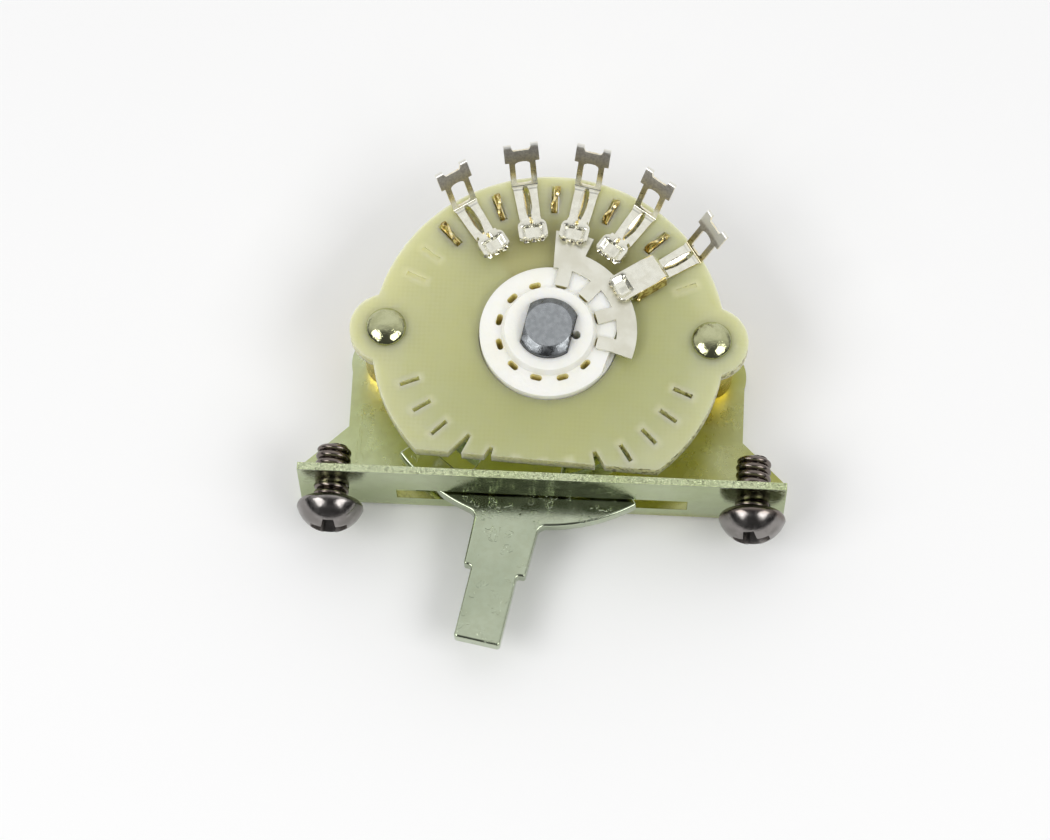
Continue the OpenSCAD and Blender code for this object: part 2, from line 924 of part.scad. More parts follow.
// The two leaves, seen from the side: they grip the blade near their tips
module leaves(r_tip, r_root, root_w, r_step, riser) {
    grip = r_tip + grip_in;
    over = rotor_proud + blade_t + lead_gap;
    crest = over + leaf_bow;
    under = rotor_proud - lead_gap - clip_t;
    intersection() {
        across(jaw_w + 1) {
            // Upper leaf
            polygon([
                [r_step + strip_lap, 0],
                [r_step + strip_lap, clip_t],
                [r_step + strip_lap - riser, crest + clip_t],
                [r_root - jaw_flare, crest + clip_t],
                [grip, over + clip_t],
                [r_tip, over + lip_rise + clip_t],
                [r_tip, over + lip_rise],
                [grip, over],
                [r_root - jaw_flare, crest],
                [r_step + strip_lap - riser - clip_t * crest_share, crest],
                [r_step + strip_lap - clip_t * foot_share, 0]]);
            // Lower leaf
            polygon([
                [r_step + strip_lap, 0],
                [r_step + strip_lap, clip_t],
                [r_step - strip_lap, clip_t],
                [grip + grip_in, under + clip_t - leaf_sag],
                [grip, under + clip_t],
                [r_tip + low_tip_back, under + clip_t - lip_rise],
                [r_tip + low_tip_back, under - lip_rise],
                [grip, under],
                [grip + grip_in, under - leaf_sag],
                [r_step - strip_lap, 0]]);
        }
        translate([0, 0, -1])
            linear_extrude(far) {
                jaw_outline(r_tip, r_root, root_w);
                translate([-root_w / 2 + eps, r_root - jaw_flare / 2])
                    square([root_w - 2 * eps, r_step - r_root + 2]);
            }
    }
}

// Window of a solder lug, with a round top and rounded lower corners
module lug_window() {
    half = lug_win_w / 2;
    arch_h = half * arch_share;
    arch_r = (half * half + arch_h * arch_h) / (2 * arch_h);
    top = lug_len * lug_win_share;
    low_r = win_corner_r;
    translate([-half, lug_win_from + low_r])
        square([lug_win_w, top - lug_win_from - low_r]);
    translate([-half + low_r, lug_win_from])
        square([lug_win_w - 2 * low_r, low_r + eps]);
    for (s = [-1, 1])
        translate([s * (half - low_r), lug_win_from + low_r])
            circle(low_r, $fn = 24);
    translate([0, top + arch_h - arch_r])
        intersection() {
            circle(arch_r);
            translate([-half, arch_r - arch_h - eps])
                square([lug_win_w, arch_h + 1]);
        }
}

// Solder lug beyond the bend, with its window, ears and bent ear tips
module lug(r_out, angle) {
    arm = clip_w / 2;
    ear = lug_ear_w / 2;
    notch = ear * notch_share;
    translate([0, r_out, clip_t / 2]) {
        rotate([0, 90, 0])
            cylinder(d = clip_t, h = clip_w, center = true);
        rotate([angle, 0, 0]) {
            translate([0, 0, -clip_t / 2])
                linear_extrude(clip_t)
                    difference() {
                        union() {
                            translate([-arm, 0])
                                square([clip_w, lug_len - lug_dip]);
                            translate([-ear, lug_len * lug_ear_share])
                                square([lug_ear_w, lug_len * (1 - lug_ear_share)]);
                        }
                        lug_window();
                        // Dip between the ears
                        polygon([
                            [-notch, lug_len + 1],
                            [-notch, lug_len],
                            [-notch + lug_dip * dip_slope, lug_len - lug_dip],
                            [notch - lug_dip * dip_slope, lug_len - lug_dip],
                            [notch, lug_len],
                            [notch, lug_len + 1]]);
                    }
            for (s = [-1, 1])
                translate([s * (ear + notch) / 2, lug_len, 0])
                    rotate([-ear_tip_angle, 0, 0])
                        translate([(notch - ear) / 2, -ear_lap, -clip_t / 2])
                            cube([ear - notch, ear_tip_len, clip_t]);
        }
    }
}

// A throw contact, whose jaw takes the blade's tab
module short_clip(angle) {
    clip_strip(neck_r, bend_r);
    clip_tab(neck_r, bend_r);
    leaves(jaw_tip_r, neck_r, neck_w, neck_r, throw_riser);
    lug(bend_r, angle);
}

// The common contact, whose longer jaw stays on the blade's arc
module long_clip(angle) {
    clip_strip(long_in_r, bend_r + long_shift);
    clip_tab(long_in_r, bend_r + long_shift);
    leaves(long_jaw_tip_r, long_jaw_tip_r + long_flare_at, long_leaf_w, long_step_r, common_riser);
    lug(bend_r + long_shift, angle);
}

module any_clip(i, angle) {
    color("#d9d8cf")
        if (i < throw_count)
            short_clip(angle);
        else
            long_clip(angle);
}

module clip_top(i) {
    at_round(top_rounds[i])
        translate([0, 0, wafer_z1])
            any_clip(i, lug_angle);
}

module clip_bottom(i) {
    at_round(bottom_rounds[i])
        translate([0, 0, wafer_z0])
            mirror([0, 0, 1])
                any_clip(i, low_lug_angle);
}

// Mounting screws, each with a domed head and a cross recess

module mounting_screw(s, gap, turn) {
    head_r = head_d / 2;
    dome_h = head_h - head_under_h;
    ball_r = (head_r * head_r + dome_h * dome_h) / (2 * dome_h);
    color("#4a4542")
        translate([s * screw_pitch / 2, -plate_y - gap, screw_z])
            rotate([90, 0, 0]) {
                difference() {
                    union() {
                        cylinder(r1 = head_r * head_under_share, r2 = head_r, h = head_under_h);
                        translate([0, 0, head_under_h])
                            intersection() {
                                translate([0, 0, dome_h - ball_r])
                                    sphere(ball_r);
                                cylinder(r = head_r + 1, h = dome_h + 1);
                            }
                    }
                    translate([0, 0, head_h - cross_depth])
                        rotate([0, 0, turn])
                            linear_extrude(cross_depth + 1) {
                                square([cross_l, cross_w], center = true);
                                square([cross_w, cross_l], center = true);
                            }
                }
                translate([0, 0, -screw_len])
                    cylinder(d = screw_d, h = screw_len + eps);
            }
}

bracket();
wafer();
spacer(-1);  // spacer_left
spacer(1);  // spacer_right
rivet(-1);  // rivet_left
rivet(1);  // rivet_right
rotor();
blade_top();
blade_bottom();
shaft();
thrust_washer();
retaining_ring();
lever();
detent_ball(-1);  // detent_ball_left
detent_ball(1);  // detent_ball_right
detent_spring();
spring_collar();
clip_top(0);  // clip_top_1
clip_top(1);  // clip_top_2
clip_top(2);  // clip_top_3
clip_top(3);  // clip_top_4
clip_top(4);  // clip_top_5
clip_bottom(0);  // clip_bottom_1
clip_bottom(1);  // clip_bottom_2
clip_bottom(2);  // clip_bottom_3
clip_bottom(3);  // clip_bottom_4
clip_bottom(4);  // clip_bottom_5
mounting_screw(-1, gap_left, 0);  // screw_left
mounting_screw(1, gap_right, 12);  // screw_right
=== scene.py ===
from collections import namedtuple
from math import asin, cos, pi, radians, sin, sqrt

import bmesh
import bpy
from mathutils import Matrix, Vector


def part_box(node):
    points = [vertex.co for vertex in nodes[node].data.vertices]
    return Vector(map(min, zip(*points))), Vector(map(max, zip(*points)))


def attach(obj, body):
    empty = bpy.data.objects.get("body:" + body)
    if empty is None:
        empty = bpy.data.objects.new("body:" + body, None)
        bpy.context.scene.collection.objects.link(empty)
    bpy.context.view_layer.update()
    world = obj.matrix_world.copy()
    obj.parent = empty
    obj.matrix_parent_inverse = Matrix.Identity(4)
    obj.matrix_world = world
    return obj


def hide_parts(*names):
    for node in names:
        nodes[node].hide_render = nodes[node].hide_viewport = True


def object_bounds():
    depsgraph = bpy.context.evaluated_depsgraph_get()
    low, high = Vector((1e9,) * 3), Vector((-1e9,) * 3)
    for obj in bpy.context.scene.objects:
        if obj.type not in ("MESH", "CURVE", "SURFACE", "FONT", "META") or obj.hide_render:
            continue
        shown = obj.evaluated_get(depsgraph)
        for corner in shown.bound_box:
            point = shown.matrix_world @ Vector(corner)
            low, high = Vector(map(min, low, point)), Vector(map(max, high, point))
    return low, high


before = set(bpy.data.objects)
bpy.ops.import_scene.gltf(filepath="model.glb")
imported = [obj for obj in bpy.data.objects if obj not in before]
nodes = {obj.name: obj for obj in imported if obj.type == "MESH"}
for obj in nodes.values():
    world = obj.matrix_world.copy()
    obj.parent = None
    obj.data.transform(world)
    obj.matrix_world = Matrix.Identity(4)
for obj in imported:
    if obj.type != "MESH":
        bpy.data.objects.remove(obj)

cad_low, cad_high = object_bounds()
MM = 0.001


# BRACKET
# One piece of sheet steel, blanked, pressed into a dish round the pivot and folded up at the
# front, then zinc plated with a yellow passivate. Two rivets hold the wafer to its base.
def tone(red, green, blue):
    """A colour as it is seen, each part from 0 to 255."""
    def linear(part):
        part = part / 255
        return part / 12.92 if part < 0.04045 else ((part + 0.055) / 1.055) ** 2.4
    return linear(red), linear(green), linear(blue), 1


def new_finish(name):
    """A fresh material, its node tree and its shader."""
    material = bpy.data.materials.new(name)
    material.use_nodes = True
    tree = material.node_tree
    return material, tree, tree.nodes["Principled BSDF"]


def add(tree, kind, inputs=None, **options):
    """Adds a node. A number or colour is set on its socket, and a socket is linked to it."""
    made = tree.nodes.new(kind)
    for key, value in options.items():
        setattr(made, key, value)
    for key, value in (inputs or {}).items():
        if isinstance(value, bpy.types.NodeSocket):
            tree.links.new(value, made.inputs[key])
        else:
            made.inputs[key].default_value = value
    return made


def maths(tree, what, first, second=0):
    return add(tree, "ShaderNodeMath", {0: first, 1: second}, operation=what).outputs[0]


def product(tree, first, *others):
    for other in others:
        first = maths(tree, "MULTIPLY", first, other)
    return first


def total(tree, first, *others):
    for other in others:
        first = maths(tree, "ADD", first, other)
    return first


def place_of(tree):
    """The point on the piece, in metres from the pivot and the underside of the base."""
    return add(tree, "ShaderNodeTexCoord").outputs["Object"]


def parts_of(tree):
    """The same point as its three parts, X, Y and Z."""
    return add(tree, "ShaderNodeSeparateXYZ", {0: place_of(tree)}).outputs


def upward_of(tree):
    """1 where the surface looks up, 0 on a wall and -1 where it looks down."""
    normal = add(tree, "ShaderNodeNewGeometry").outputs["True Normal"]
    return add(tree, "ShaderNodeSeparateXYZ", {0: normal}).outputs["Z"]


def spread(tree, value, from_low, from_high, to_low, to_high):
    """Maps a value from one range smoothly to another."""
    limits = {"Value": value, "From Min": from_low, "From Max": from_high,
              "To Min": to_low, "To Max": to_high}
    return add(tree, "ShaderNodeMapRange", limits, interpolation_type="SMOOTHSTEP").outputs["Result"]


def ramp(tree, length, start, stop, low=0, high=1):
    """Goes smoothly from low to high while a length goes from start to stop millimetres."""
    return spread(tree, length, start * MM, stop * MM, low, high)


def cloud(tree, size, low, high, stretch=(1, 1, 1), detail=3, sharp=0.15):
    """Uneven patches about size millimetres across, with values from low to high."""
    scale = [part / (size * MM) for part in stretch]
    moved = add(tree, "ShaderNodeMapping", {"Vector": place_of(tree), "Scale": scale})
    settings = {"Vector": moved.outputs["Vector"], "Scale": 1.0, "Detail": detail}
    noise = add(tree, "ShaderNodeTexNoise", settings)
    return spread(tree, noise.outputs["Fac"], 0.5 - sharp, 0.5 + sharp, low, high)


def blend_tone(tree, share, first, second):
    """A colour between two, each a colour or a socket."""
    made = add(tree, "ShaderNodeMix", {0: share, 6: first, 7: second}, data_type="RGBA")
    return made.outputs[2]


def join(tree, shader, **sockets):
    """Sets or links the shader's sockets, named with underscores for spaces."""
    for key, value in sockets.items():
        name = key.replace("_", " ")
        if isinstance(value, bpy.types.NodeSocket):
            tree.links.new(value, shader.inputs[name])
        else:
            shader.inputs[name].default_value = value


def dent(tree, shader, height, depth):
    """Raises the surface by height times depth millimetres."""
    bump = add(tree, "ShaderNodeBump", {"Height": height, "Distance": depth * MM, "Strength": 1.0})
    tree.links.new(bump.outputs["Normal"], shader.inputs["Normal"])


def wear(node, material):
    """Gives a CAD node its finish."""
    slots = nodes[node].data.materials
    slots.clear()
    slots.append(material)


def round_edges(piece, width, steps=2, angle=32):
    """Rounds edges sharper than angle degrees to a small radius, as tumbling and plating do."""
    weld = piece.modifiers.new("weld", "WELD")
    weld.merge_threshold = 0.002 * MM
    merge = piece.modifiers.new("merge", "DECIMATE")
    merge.decimate_type = "DISSOLVE"
    merge.angle_limit = radians(0.4)
    bevel = piece.modifiers.new("edges", "BEVEL")
    bevel.width = width * MM
    bevel.segments = steps
    bevel.limit_method = "ANGLE"
    bevel.angle_limit = radians(angle)
    bevel.harden_normals = True
    bevel.use_clamp_overlap = True
    bevel.miter_outer = "MITER_ARC"


# Each pair is where a change begins and where it is complete, in millimetres
BASE_LEFT_TO_RIGHT = (-4, 14)
BASE_TO_PLATE = (0.6, 2.4)
DULL_BASE = (0.8, 2.6)
ABOVE_BASE = (2.4, 2.7)
BELOW_TOP = (9, 9.3)
SHEARED_TOP = (9.7, 9.8)
PLATE_TONE = tone(176, 189, 142)
BASE_LEFT_TONE = tone(192, 201, 153)
BASE_RIGHT_REFLECTION = tone(163, 163, 78)
SLOT_WALL_SHADE = tone(152, 152, 78)
FADED_ZINC = tone(206, 214, 190)
MOTTLED_ZINC = tone(150, 150, 112)
EDGE_GLINT = tone(232, 236, 200)
EDGE_DARK = tone(70, 72, 50)
ZINC_RELIEF = 0.024


def zinc_colour(tree, colour, mottle):
    """Zinc plate that has faded in large patches and is mottled in small ones."""
    faded = blend_tone(tree, cloud(tree, 7, 0, 0.35, detail=2), colour, FADED_ZINC)
    return blend_tone(tree, cloud(tree, 0.8, 0, mottle, detail=4), faded, MOTTLED_ZINC)


def zinc_relief(tree, spared, nick_depth):
    """Rolled grain along X, and nicks. More of the surface is spared them as spared nears 1."""
    grain = product(tree, cloud(tree, 0.05, 0, 1, stretch=(0.12, 1, 1), detail=2), 0.05)
    nicks = cloud(tree, 0.3, 0, 1, stretch=(1, 0.45, 1), detail=2, sharp=0.02)
    field = cloud(tree, 1.3, 0, 1, detail=1, sharp=0.3)
    limits = {"Value": field, "From Min": spared, "From Max": spared + 0.05}
    nicked_part = add(tree, "ShaderNodeMapRange", limits).outputs["Result"]
    return total(tree, grain, product(tree, nicks, nicked_part, nick_depth))


def bracket_finish():
    material, tree, shader = new_finish("zinc_sheet")
    point = parts_of(tree)
    height = point["Z"]
    # The plate is greener than the base. The base's right is more olive, a painted reflection of the
    # wafer's yellow-green underside.
    base = blend_tone(tree, ramp(tree, point["X"], *BASE_LEFT_TO_RIGHT), BASE_LEFT_TONE, BASE_RIGHT_REFLECTION)
    colour = blend_tone(tree, ramp(tree, height, *BASE_TO_PLATE), base, PLATE_TONE)
    # The level faces between the base and the plate's top edge are the walls of its slot, painted darker
    # olive as painted shade.
    level = spread(tree, maths(tree, "ABSOLUTE", upward_of(tree)), 0.5, 0.8, 0, 1)
    slot_wall_shade = product(tree, level, ramp(tree, height, *ABOVE_BASE), ramp(tree, height, *BELOW_TOP, 1, 0))
    colour = zinc_colour(tree, blend_tone(tree, slot_wall_shade, colour, SLOT_WALL_SHADE), 0.12)
    # The plate's sheared top edge is coarse, with dark specks, and bright specks that are painted glints.
    sheared = ramp(tree, height, *SHEARED_TOP)
    painted_glints = product(tree, cloud(tree, 0.1, -0.5, 0.75, detail=2, sharp=0.2), sheared)
    colour = blend_tone(tree, painted_glints, colour, EDGE_GLINT)
    dark_specks = product(tree, cloud(tree, 0.2, -1.2, 0.42, detail=2, sharp=0.16), sheared)
    colour = blend_tone(tree, dark_specks, colour, EDGE_DARK)
    coarse = product(tree, cloud(tree, 0.16, 0, 1), sheared, 1.2)
    # The base is duller than the plate
    roughness = total(tree, cloud(tree, 1.5, 0.1, 0.19), ramp(tree, height, *DULL_BASE, 0.16, 0))
    join(tree, shader, Base_Color=colour, Metallic=1.0, Roughness=roughness)
    relief = zinc_relief(tree, spared=0.75, nick_depth=0.35)
    dent(tree, shader, total(tree, relief, coarse), ZINC_RELIEF)
    return material


wear("bracket", bracket_finish())
round_edges(nodes["bracket"], 0.1)


# WAFER
# A stamped board of resin and glass cloth, pale green and a little see-through. Each slot has
# a pale halo where the punch crazed the resin, and the sheared edges are paler than the face.
SLOT_R = 14.45
SLOT_STEP = radians(11.25)
HALO_ACROSS = (0.15, 0.85)
HALO_ALONG = (1.1, 1.85)
CLEAR_OF_EARS = (3.6, 4.2)
HUB_TO_RIM = (6, 17.5)
RIM_BAND = (13.5, 16)
RIGHT_TO_FAR_LEFT = (-6, 20)
JAWS_TO_SLOTS = (9.5, 14.5)
CLIPS_AT = radians(14)
CLIPS_SIDE = (radians(44), radians(54))
SPECKED_SIDE = (2, 8)
WEAVE_SCALE = 680.0
FACE_INNER_SHADED = tone(176, 178, 123)
FACE_OUTER_LIT = tone(189, 193, 151)
FACE_GREENER = tone(182, 184, 134)
FACE_YELLOWER = tone(187, 188, 131)
RIM_LIT = tone(214, 213, 184)
FAR_LEFT_LIT = tone(208, 207, 164)
CLIPS_SHADE_BROWN = tone(168, 156, 92)
HALO_PALE = tone(218, 217, 180)
WALL_PALE = tone(224, 222, 182)
WALL_SPECK = tone(96, 88, 52)
UNDERSIDE_LIT = tone(236, 236, 190)
WEAVE_TONE = tone(166, 166, 104)


def radius_of(tree):
    """The distance from the pivot's axis."""
    flat = add(tree, "ShaderNodeVectorMath", {0: place_of(tree), 1: (1, 1, 0)}, operation="MULTIPLY")
    return add(tree, "ShaderNodeVectorMath", {0: flat.outputs[0]}, operation="LENGTH").outputs["Value"]


def walls_of(tree, steep, level, most):
    """A share that is most on walls and 0 on level faces."""
    return spread(tree, maths(tree, "ABSOLUTE", upward_of(tree)), steep, level, most, 0)


def slot_halos(tree, radius, round_angle, y):
    """1 round each slot and 0 away from it, with none beside the ears, where there are no slots."""
    turns = maths(tree, "DIVIDE", round_angle, SLOT_STEP)
    from_slot = maths(tree, "ABSOLUTE", maths(tree, "SUBTRACT", turns, maths(tree, "ROUND", turns)))
    across = product(tree, from_slot, product(tree, radius, SLOT_STEP))
    along = maths(tree, "ABSOLUTE", maths(tree, "SUBTRACT", radius, SLOT_R * MM))
    near = product(tree, ramp(tree, across, *HALO_ACROSS, 1, 0), ramp(tree, along, *HALO_ALONG, 1, 0))
    return product(tree, near, ramp(tree, maths(tree, "ABSOLUTE", y), *CLEAR_OF_EARS))


def cloth_weave(tree):
    """The glass cloth that shows through, as two crossed sets of fine waves."""
    waves = []
    for way in ("X", "Y"):
        settings = {"Vector": place_of(tree), "Scale": WEAVE_SCALE, "Distortion": 1.0, "Detail": 1.0}
        waves.append(add(tree, "ShaderNodeTexWave", settings, bands_direction=way).outputs["Fac"])
    return product(tree, total(tree, *waves), 0.5)


def wafer_finish():
    material, tree, shader = new_finish("wafer_board")
    point, radius = parts_of(tree), radius_of(tree)
    x, y = point["X"], point["Y"]
    round_angle = maths(tree, "ARCTAN2", x, y)
    # The face is painted darker round the hub, as painted shade of the mechanism below, and paler towards
    # the rim and at the far left, as painted light. It is cloudy, and browner round the clips' jaws, as
    # painted shade of the clips.
    colour = blend_tone(tree, ramp(tree, radius, *HUB_TO_RIM), FACE_INNER_SHADED, FACE_OUTER_LIT)
    colour = blend_tone(tree, cloud(tree, 3.5, 0, 0.4), colour, FACE_GREENER)
    colour = blend_tone(tree, cloud(tree, 8, 0, 0.4), colour, FACE_YELLOWER)
    colour = blend_tone(tree, ramp(tree, radius, *RIM_BAND, 0, 0.25), colour, RIM_LIT)
    far_left_light = ramp(tree, maths(tree, "SUBTRACT", y, x), *RIGHT_TO_FAR_LEFT, 0, 0.42)
    colour = blend_tone(tree, far_left_light, colour, FAR_LEFT_LIT)
    # Painted shade of the clips makes the face browner round their jaws
    from_clips = maths(tree, "ABSOLUTE", maths(tree, "SUBTRACT", round_angle, CLIPS_AT))
    clip_shade = product(tree, spread(tree, from_clips, *CLIPS_SIDE, 0.34, 0),
                    ramp(tree, radius, *JAWS_TO_SLOTS, 1, 0))
    colour = blend_tone(tree, clip_shade, colour, CLIPS_SHADE_BROWN)
    halos = slot_halos(tree, radius, round_angle, y)
    colour = blend_tone(tree, product(tree, halos, 0.6), colour, HALO_PALE)
    # Walls are pale with dark specks, more of them to the right, and the underside is palest, as painted
    # light coming through the board.
    walls = walls_of(tree, 0.3, 0.8, 0.7)
    colour = blend_tone(tree, walls, colour, WALL_PALE)
    specks = product(tree, walls, cloud(tree, 0.45, -1.3, 1.1, sharp=0.12),
                     ramp(tree, x, *SPECKED_SIDE, 0.3, 1))
    colour = blend_tone(tree, specks, colour, WALL_SPECK)
    colour = blend_tone(tree, spread(tree, upward_of(tree), -0.7, -0.4, 0.9, 0), colour, UNDERSIDE_LIT)
    weave = cloth_weave(tree)
    colour = blend_tone(tree, product(tree, weave, cloud(tree, 2, 0.02, 0.14)), colour, WEAVE_TONE)
    join(tree, shader, Base_Color=colour, Roughness=cloud(tree, 1.2, 0.32, 0.5), Specular_IOR_Level=0.4,
         Subsurface_Weight=1.0, Subsurface_Radius=(1.0, 0.95, 0.6), Subsurface_Scale=4.5 * MM)
    # The weave, the raised crazing of the halos and the torn fibres of the walls
    torn = product(tree, walls, cloud(tree, 0.3, 0, 1))
    dent(tree, shader, total(tree, product(tree, weave, 0.04), halos, torn), 0.07)
    return material


wear("wafer", wafer_finish())
round_edges(nodes["wafer"], 0.06)


# SPACERS
# Two lengths of drawn brass tube, which hold the wafer off the base. A rivet runs through
# each of them.
BRASS_PALE = tone(252, 228, 142)
BRASS_DEEP = tone(240, 206, 100)


def brass_finish(name, rough):
    material, tree, shader = new_finish(name)
    colour = blend_tone(tree, cloud(tree, 2.5, 0, 1), BRASS_PALE, BRASS_DEEP)
    roughness = cloud(tree, 1.0, rough - 0.04, rough + 0.08)
    join(tree, shader, Base_Color=colour, Metallic=1.0, Roughness=roughness)
    # Fine streaks along Z, the tube's length
    dent(tree, shader, cloud(tree, 0.08, 0, 1, stretch=(1, 1, 0.05), detail=2), 0.003)
    return material


for side in ("left", "right"):
    wear("spacer_" + side, brass_finish("spacer_brass_" + side, 0.2))
    round_edges(nodes["spacer_" + side], 0.08)


# RIVETS
# Domed rivets through wafer, spacer and base, nickel plated and bright, their tails spread in
# the base's countersunk holes.
def bright_finish(name, first, second, rough, relief):
    """Polished metal in two near tones, very slightly uneven."""
    material, tree, shader = new_finish(name)
    colour = blend_tone(tree, cloud(tree, 1.4, 0, 1), first, second)
    roughness = cloud(tree, 0.5, rough - 0.03, rough + 0.06)
    join(tree, shader, Base_Color=colour, Metallic=1.0, Roughness=roughness)
    dent(tree, shader, cloud(tree, 0.45, 0, 1, detail=2), relief)
    return material


NICKEL_LIGHT = tone(190, 192, 153)
NICKEL_DARK = tone(174, 176, 136)
for side in ("left", "right"):
    wear("rivet_" + side, bright_finish("rivet_nickel_" + side, NICKEL_LIGHT, NICKEL_DARK, 0.12, 0.012))
    round_edges(nodes["rivet_" + side], 0.12, steps=3)


# SHAFT AND BEARING
# A turned steel shaft with two flats, dark all over, on a brass washer. An open ring holds
# it in the base from below.
def dark_steel_finish(name, first, second, rough):
    """Dark steel in two tones, darker still on its walls as painted shade, with fine streaks along Y."""
    material, tree, shader = new_finish(name)
    colour = blend_tone(tree, cloud(tree, 0.5, 0, 1), tone(*first), tone(*second))
    # Painted shade darkens the walls
    wall_shade = tone(*(part * 0.6 for part in second))
    colour = blend_tone(tree, walls_of(tree, 0.75, 0.95, 0.75), colour, wall_shade)
    roughness = cloud(tree, 0.6, rough - 0.05, rough + 0.1)
    join(tree, shader, Base_Color=colour, Metallic=1.0, Roughness=roughness)
    dent(tree, shader, cloud(tree, 0.1, 0, 1, stretch=(1, 0.1, 1)), 0.003)
    return material


wear("shaft", dark_steel_finish("shaft_steel", (164, 168, 171), (150, 154, 157), 0.26))
round_edges(nodes["shaft"], 0.1, steps=3)
wear("thrust_washer", brass_finish("washer_brass", 0.3))
wear("retaining_ring", dark_steel_finish("ring_steel", (150, 151, 150), (130, 130, 128), 0.35))
round_edges(nodes["retaining_ring"], 0.05)


# LEVER AND DETENT
# The lever is stamped from thick sheet, its edges rolled by the die, and zinc plated. Two hard
# balls sit in its holes under a bowed leaf spring, which a collar pressed on the shaft holds.
LEVER_ZINC = tone(174, 184, 160)
BALL_LIGHT = tone(210, 211, 212)
BALL_DARK = tone(196, 197, 198)


def lever_finish():
    """The bracket's plating in one tint, more nicked than there."""
    material, tree, shader = new_finish("lever_steel")
    join(tree, shader, Base_Color=zinc_colour(tree, LEVER_ZINC, 0.1), Metallic=1.0,
         Roughness=cloud(tree, 1.5, 0.08, 0.17))
    dent(tree, shader, zinc_relief(tree, spared=0.68, nick_depth=0.5), ZINC_RELIEF)
    return material


wear("lever", lever_finish())
round_edges(nodes["lever"], 0.3, steps=4)
for side in ("left", "right"):
    wear("detent_ball_" + side, bright_finish("ball_steel_" + side, BALL_LIGHT, BALL_DARK, 0.1, 0.002))
wear("detent_spring", dark_steel_finish("spring_steel", (160, 158, 150), (140, 138, 130), 0.3))
wear("spring_collar", dark_steel_finish("collar_steel", (165, 164, 158), (146, 145, 138), 0.3))
round_edges(nodes["spring_collar"], 0.1)


# ROTOR
# Moulded in cream plastic, with a ring of oval holes that the blades' teeth are folded into.
# The holes' walls look yellower than the faces.
TEETH_RING_R = 5
HOLE_HALF = (0.34, 0.38)
CREAM_LIGHT = tone(250, 249, 241)
CREAM_DARK = tone(246, 245, 234)
HOLE_YELLOW = tone(248, 238, 186)


def rotor_finish():
    material, tree, shader = new_finish("rotor_plastic")
    colour = blend_tone(tree, cloud(tree, 4, 0, 1), CREAM_LIGHT, CREAM_DARK)
    from_ring = maths(tree, "ABSOLUTE", maths(tree, "SUBTRACT", radius_of(tree), TEETH_RING_R * MM))
    hole_walls = product(tree, walls_of(tree, 0.3, 0.7, 1), ramp(tree, from_ring, *HOLE_HALF, 1, 0))
    colour = blend_tone(tree, hole_walls, colour, HOLE_YELLOW)
    join(tree, shader, Base_Color=colour, Roughness=cloud(tree, 0.8, 0.3, 0.42), Specular_IOR_Level=0.45,
         Subsurface_Weight=0.6, Subsurface_Radius=(1.0, 0.93, 0.75), Subsurface_Scale=1.2 * MM)
    dent(tree, shader, cloud(tree, 0.35, 0, 1, detail=4), 0.008)
    return material


wear("rotor", rotor_finish())
round_edges(nodes["rotor"], 0.14, steps=3)


# BLADES
# Two matt stampings of silver plated brass, one on each face of the rotor, their teeth
# folded into its holes.
BLADE_LIGHT = tone(238, 237, 224)
BLADE_DARK = tone(226, 224, 208)


def blade_finish(name):
    material, tree, shader = new_finish(name)
    colour = blend_tone(tree, cloud(tree, 2.2, 0, 1), BLADE_LIGHT, BLADE_DARK)
    join(tree, shader, Base_Color=colour, Metallic=1.0, Roughness=cloud(tree, 0.7, 0.34, 0.5))
    # Fine scratches along Y
    dent(tree, shader, cloud(tree, 0.06, 0, 1, stretch=(1, 0.15, 1)), 0.003)
    return material


for level in ("top", "bottom"):
    wear("blade_" + level, blade_finish("blade_metal_" + level))
    round_edges(nodes["blade_" + level], 0.05)


# CLIPS
# Ten spring contacts of silver plated brass, folded with jaws at one end and a solder lug at
# the other. A tab through the wafer holds each one, and its cut edges look brassy.
def silver_finish(name, light, dark, rough, patch):
    """Silver plate in two tones, in patches of the given size."""
    material, tree, shader = new_finish(name)
    colour = blend_tone(tree, cloud(tree, patch, 0, 1), tone(*light), tone(*dark))
    roughness = cloud(tree, 0.6, rough - 0.04, rough + 0.06)
    join(tree, shader, Base_Color=colour, Metallic=1.0, Roughness=roughness)
    dent(tree, shader, cloud(tree, 0.3, 0, 1, detail=2), 0.003)
    return material


# Distances from the pivot where a change begins and where it is complete, in millimetres
DULL_JAWS = (11.4, 11.9)
WAFER_REFLECTION_FROM = (16.5, 16.9)
DULL_FROM = (16.9, 17.4)
TARNISHED_FROM = (16.9, 17.6)
DARK_REFLECTION_FROM = (17.2, 18.4)
TIP_FROM = (18.45, 18.65)
SILVER_LIGHT = tone(236, 235, 222)
SILVER_DARK = tone(227, 225, 210)
LUG_WAFER_REFLECTION = tone(200, 188, 142)
LUG_DARK_REFLECTION = tone(196, 192, 184)
LUG_TARNISH = tone(152, 144, 136)
LUG_TIP = tone(244, 243, 236)


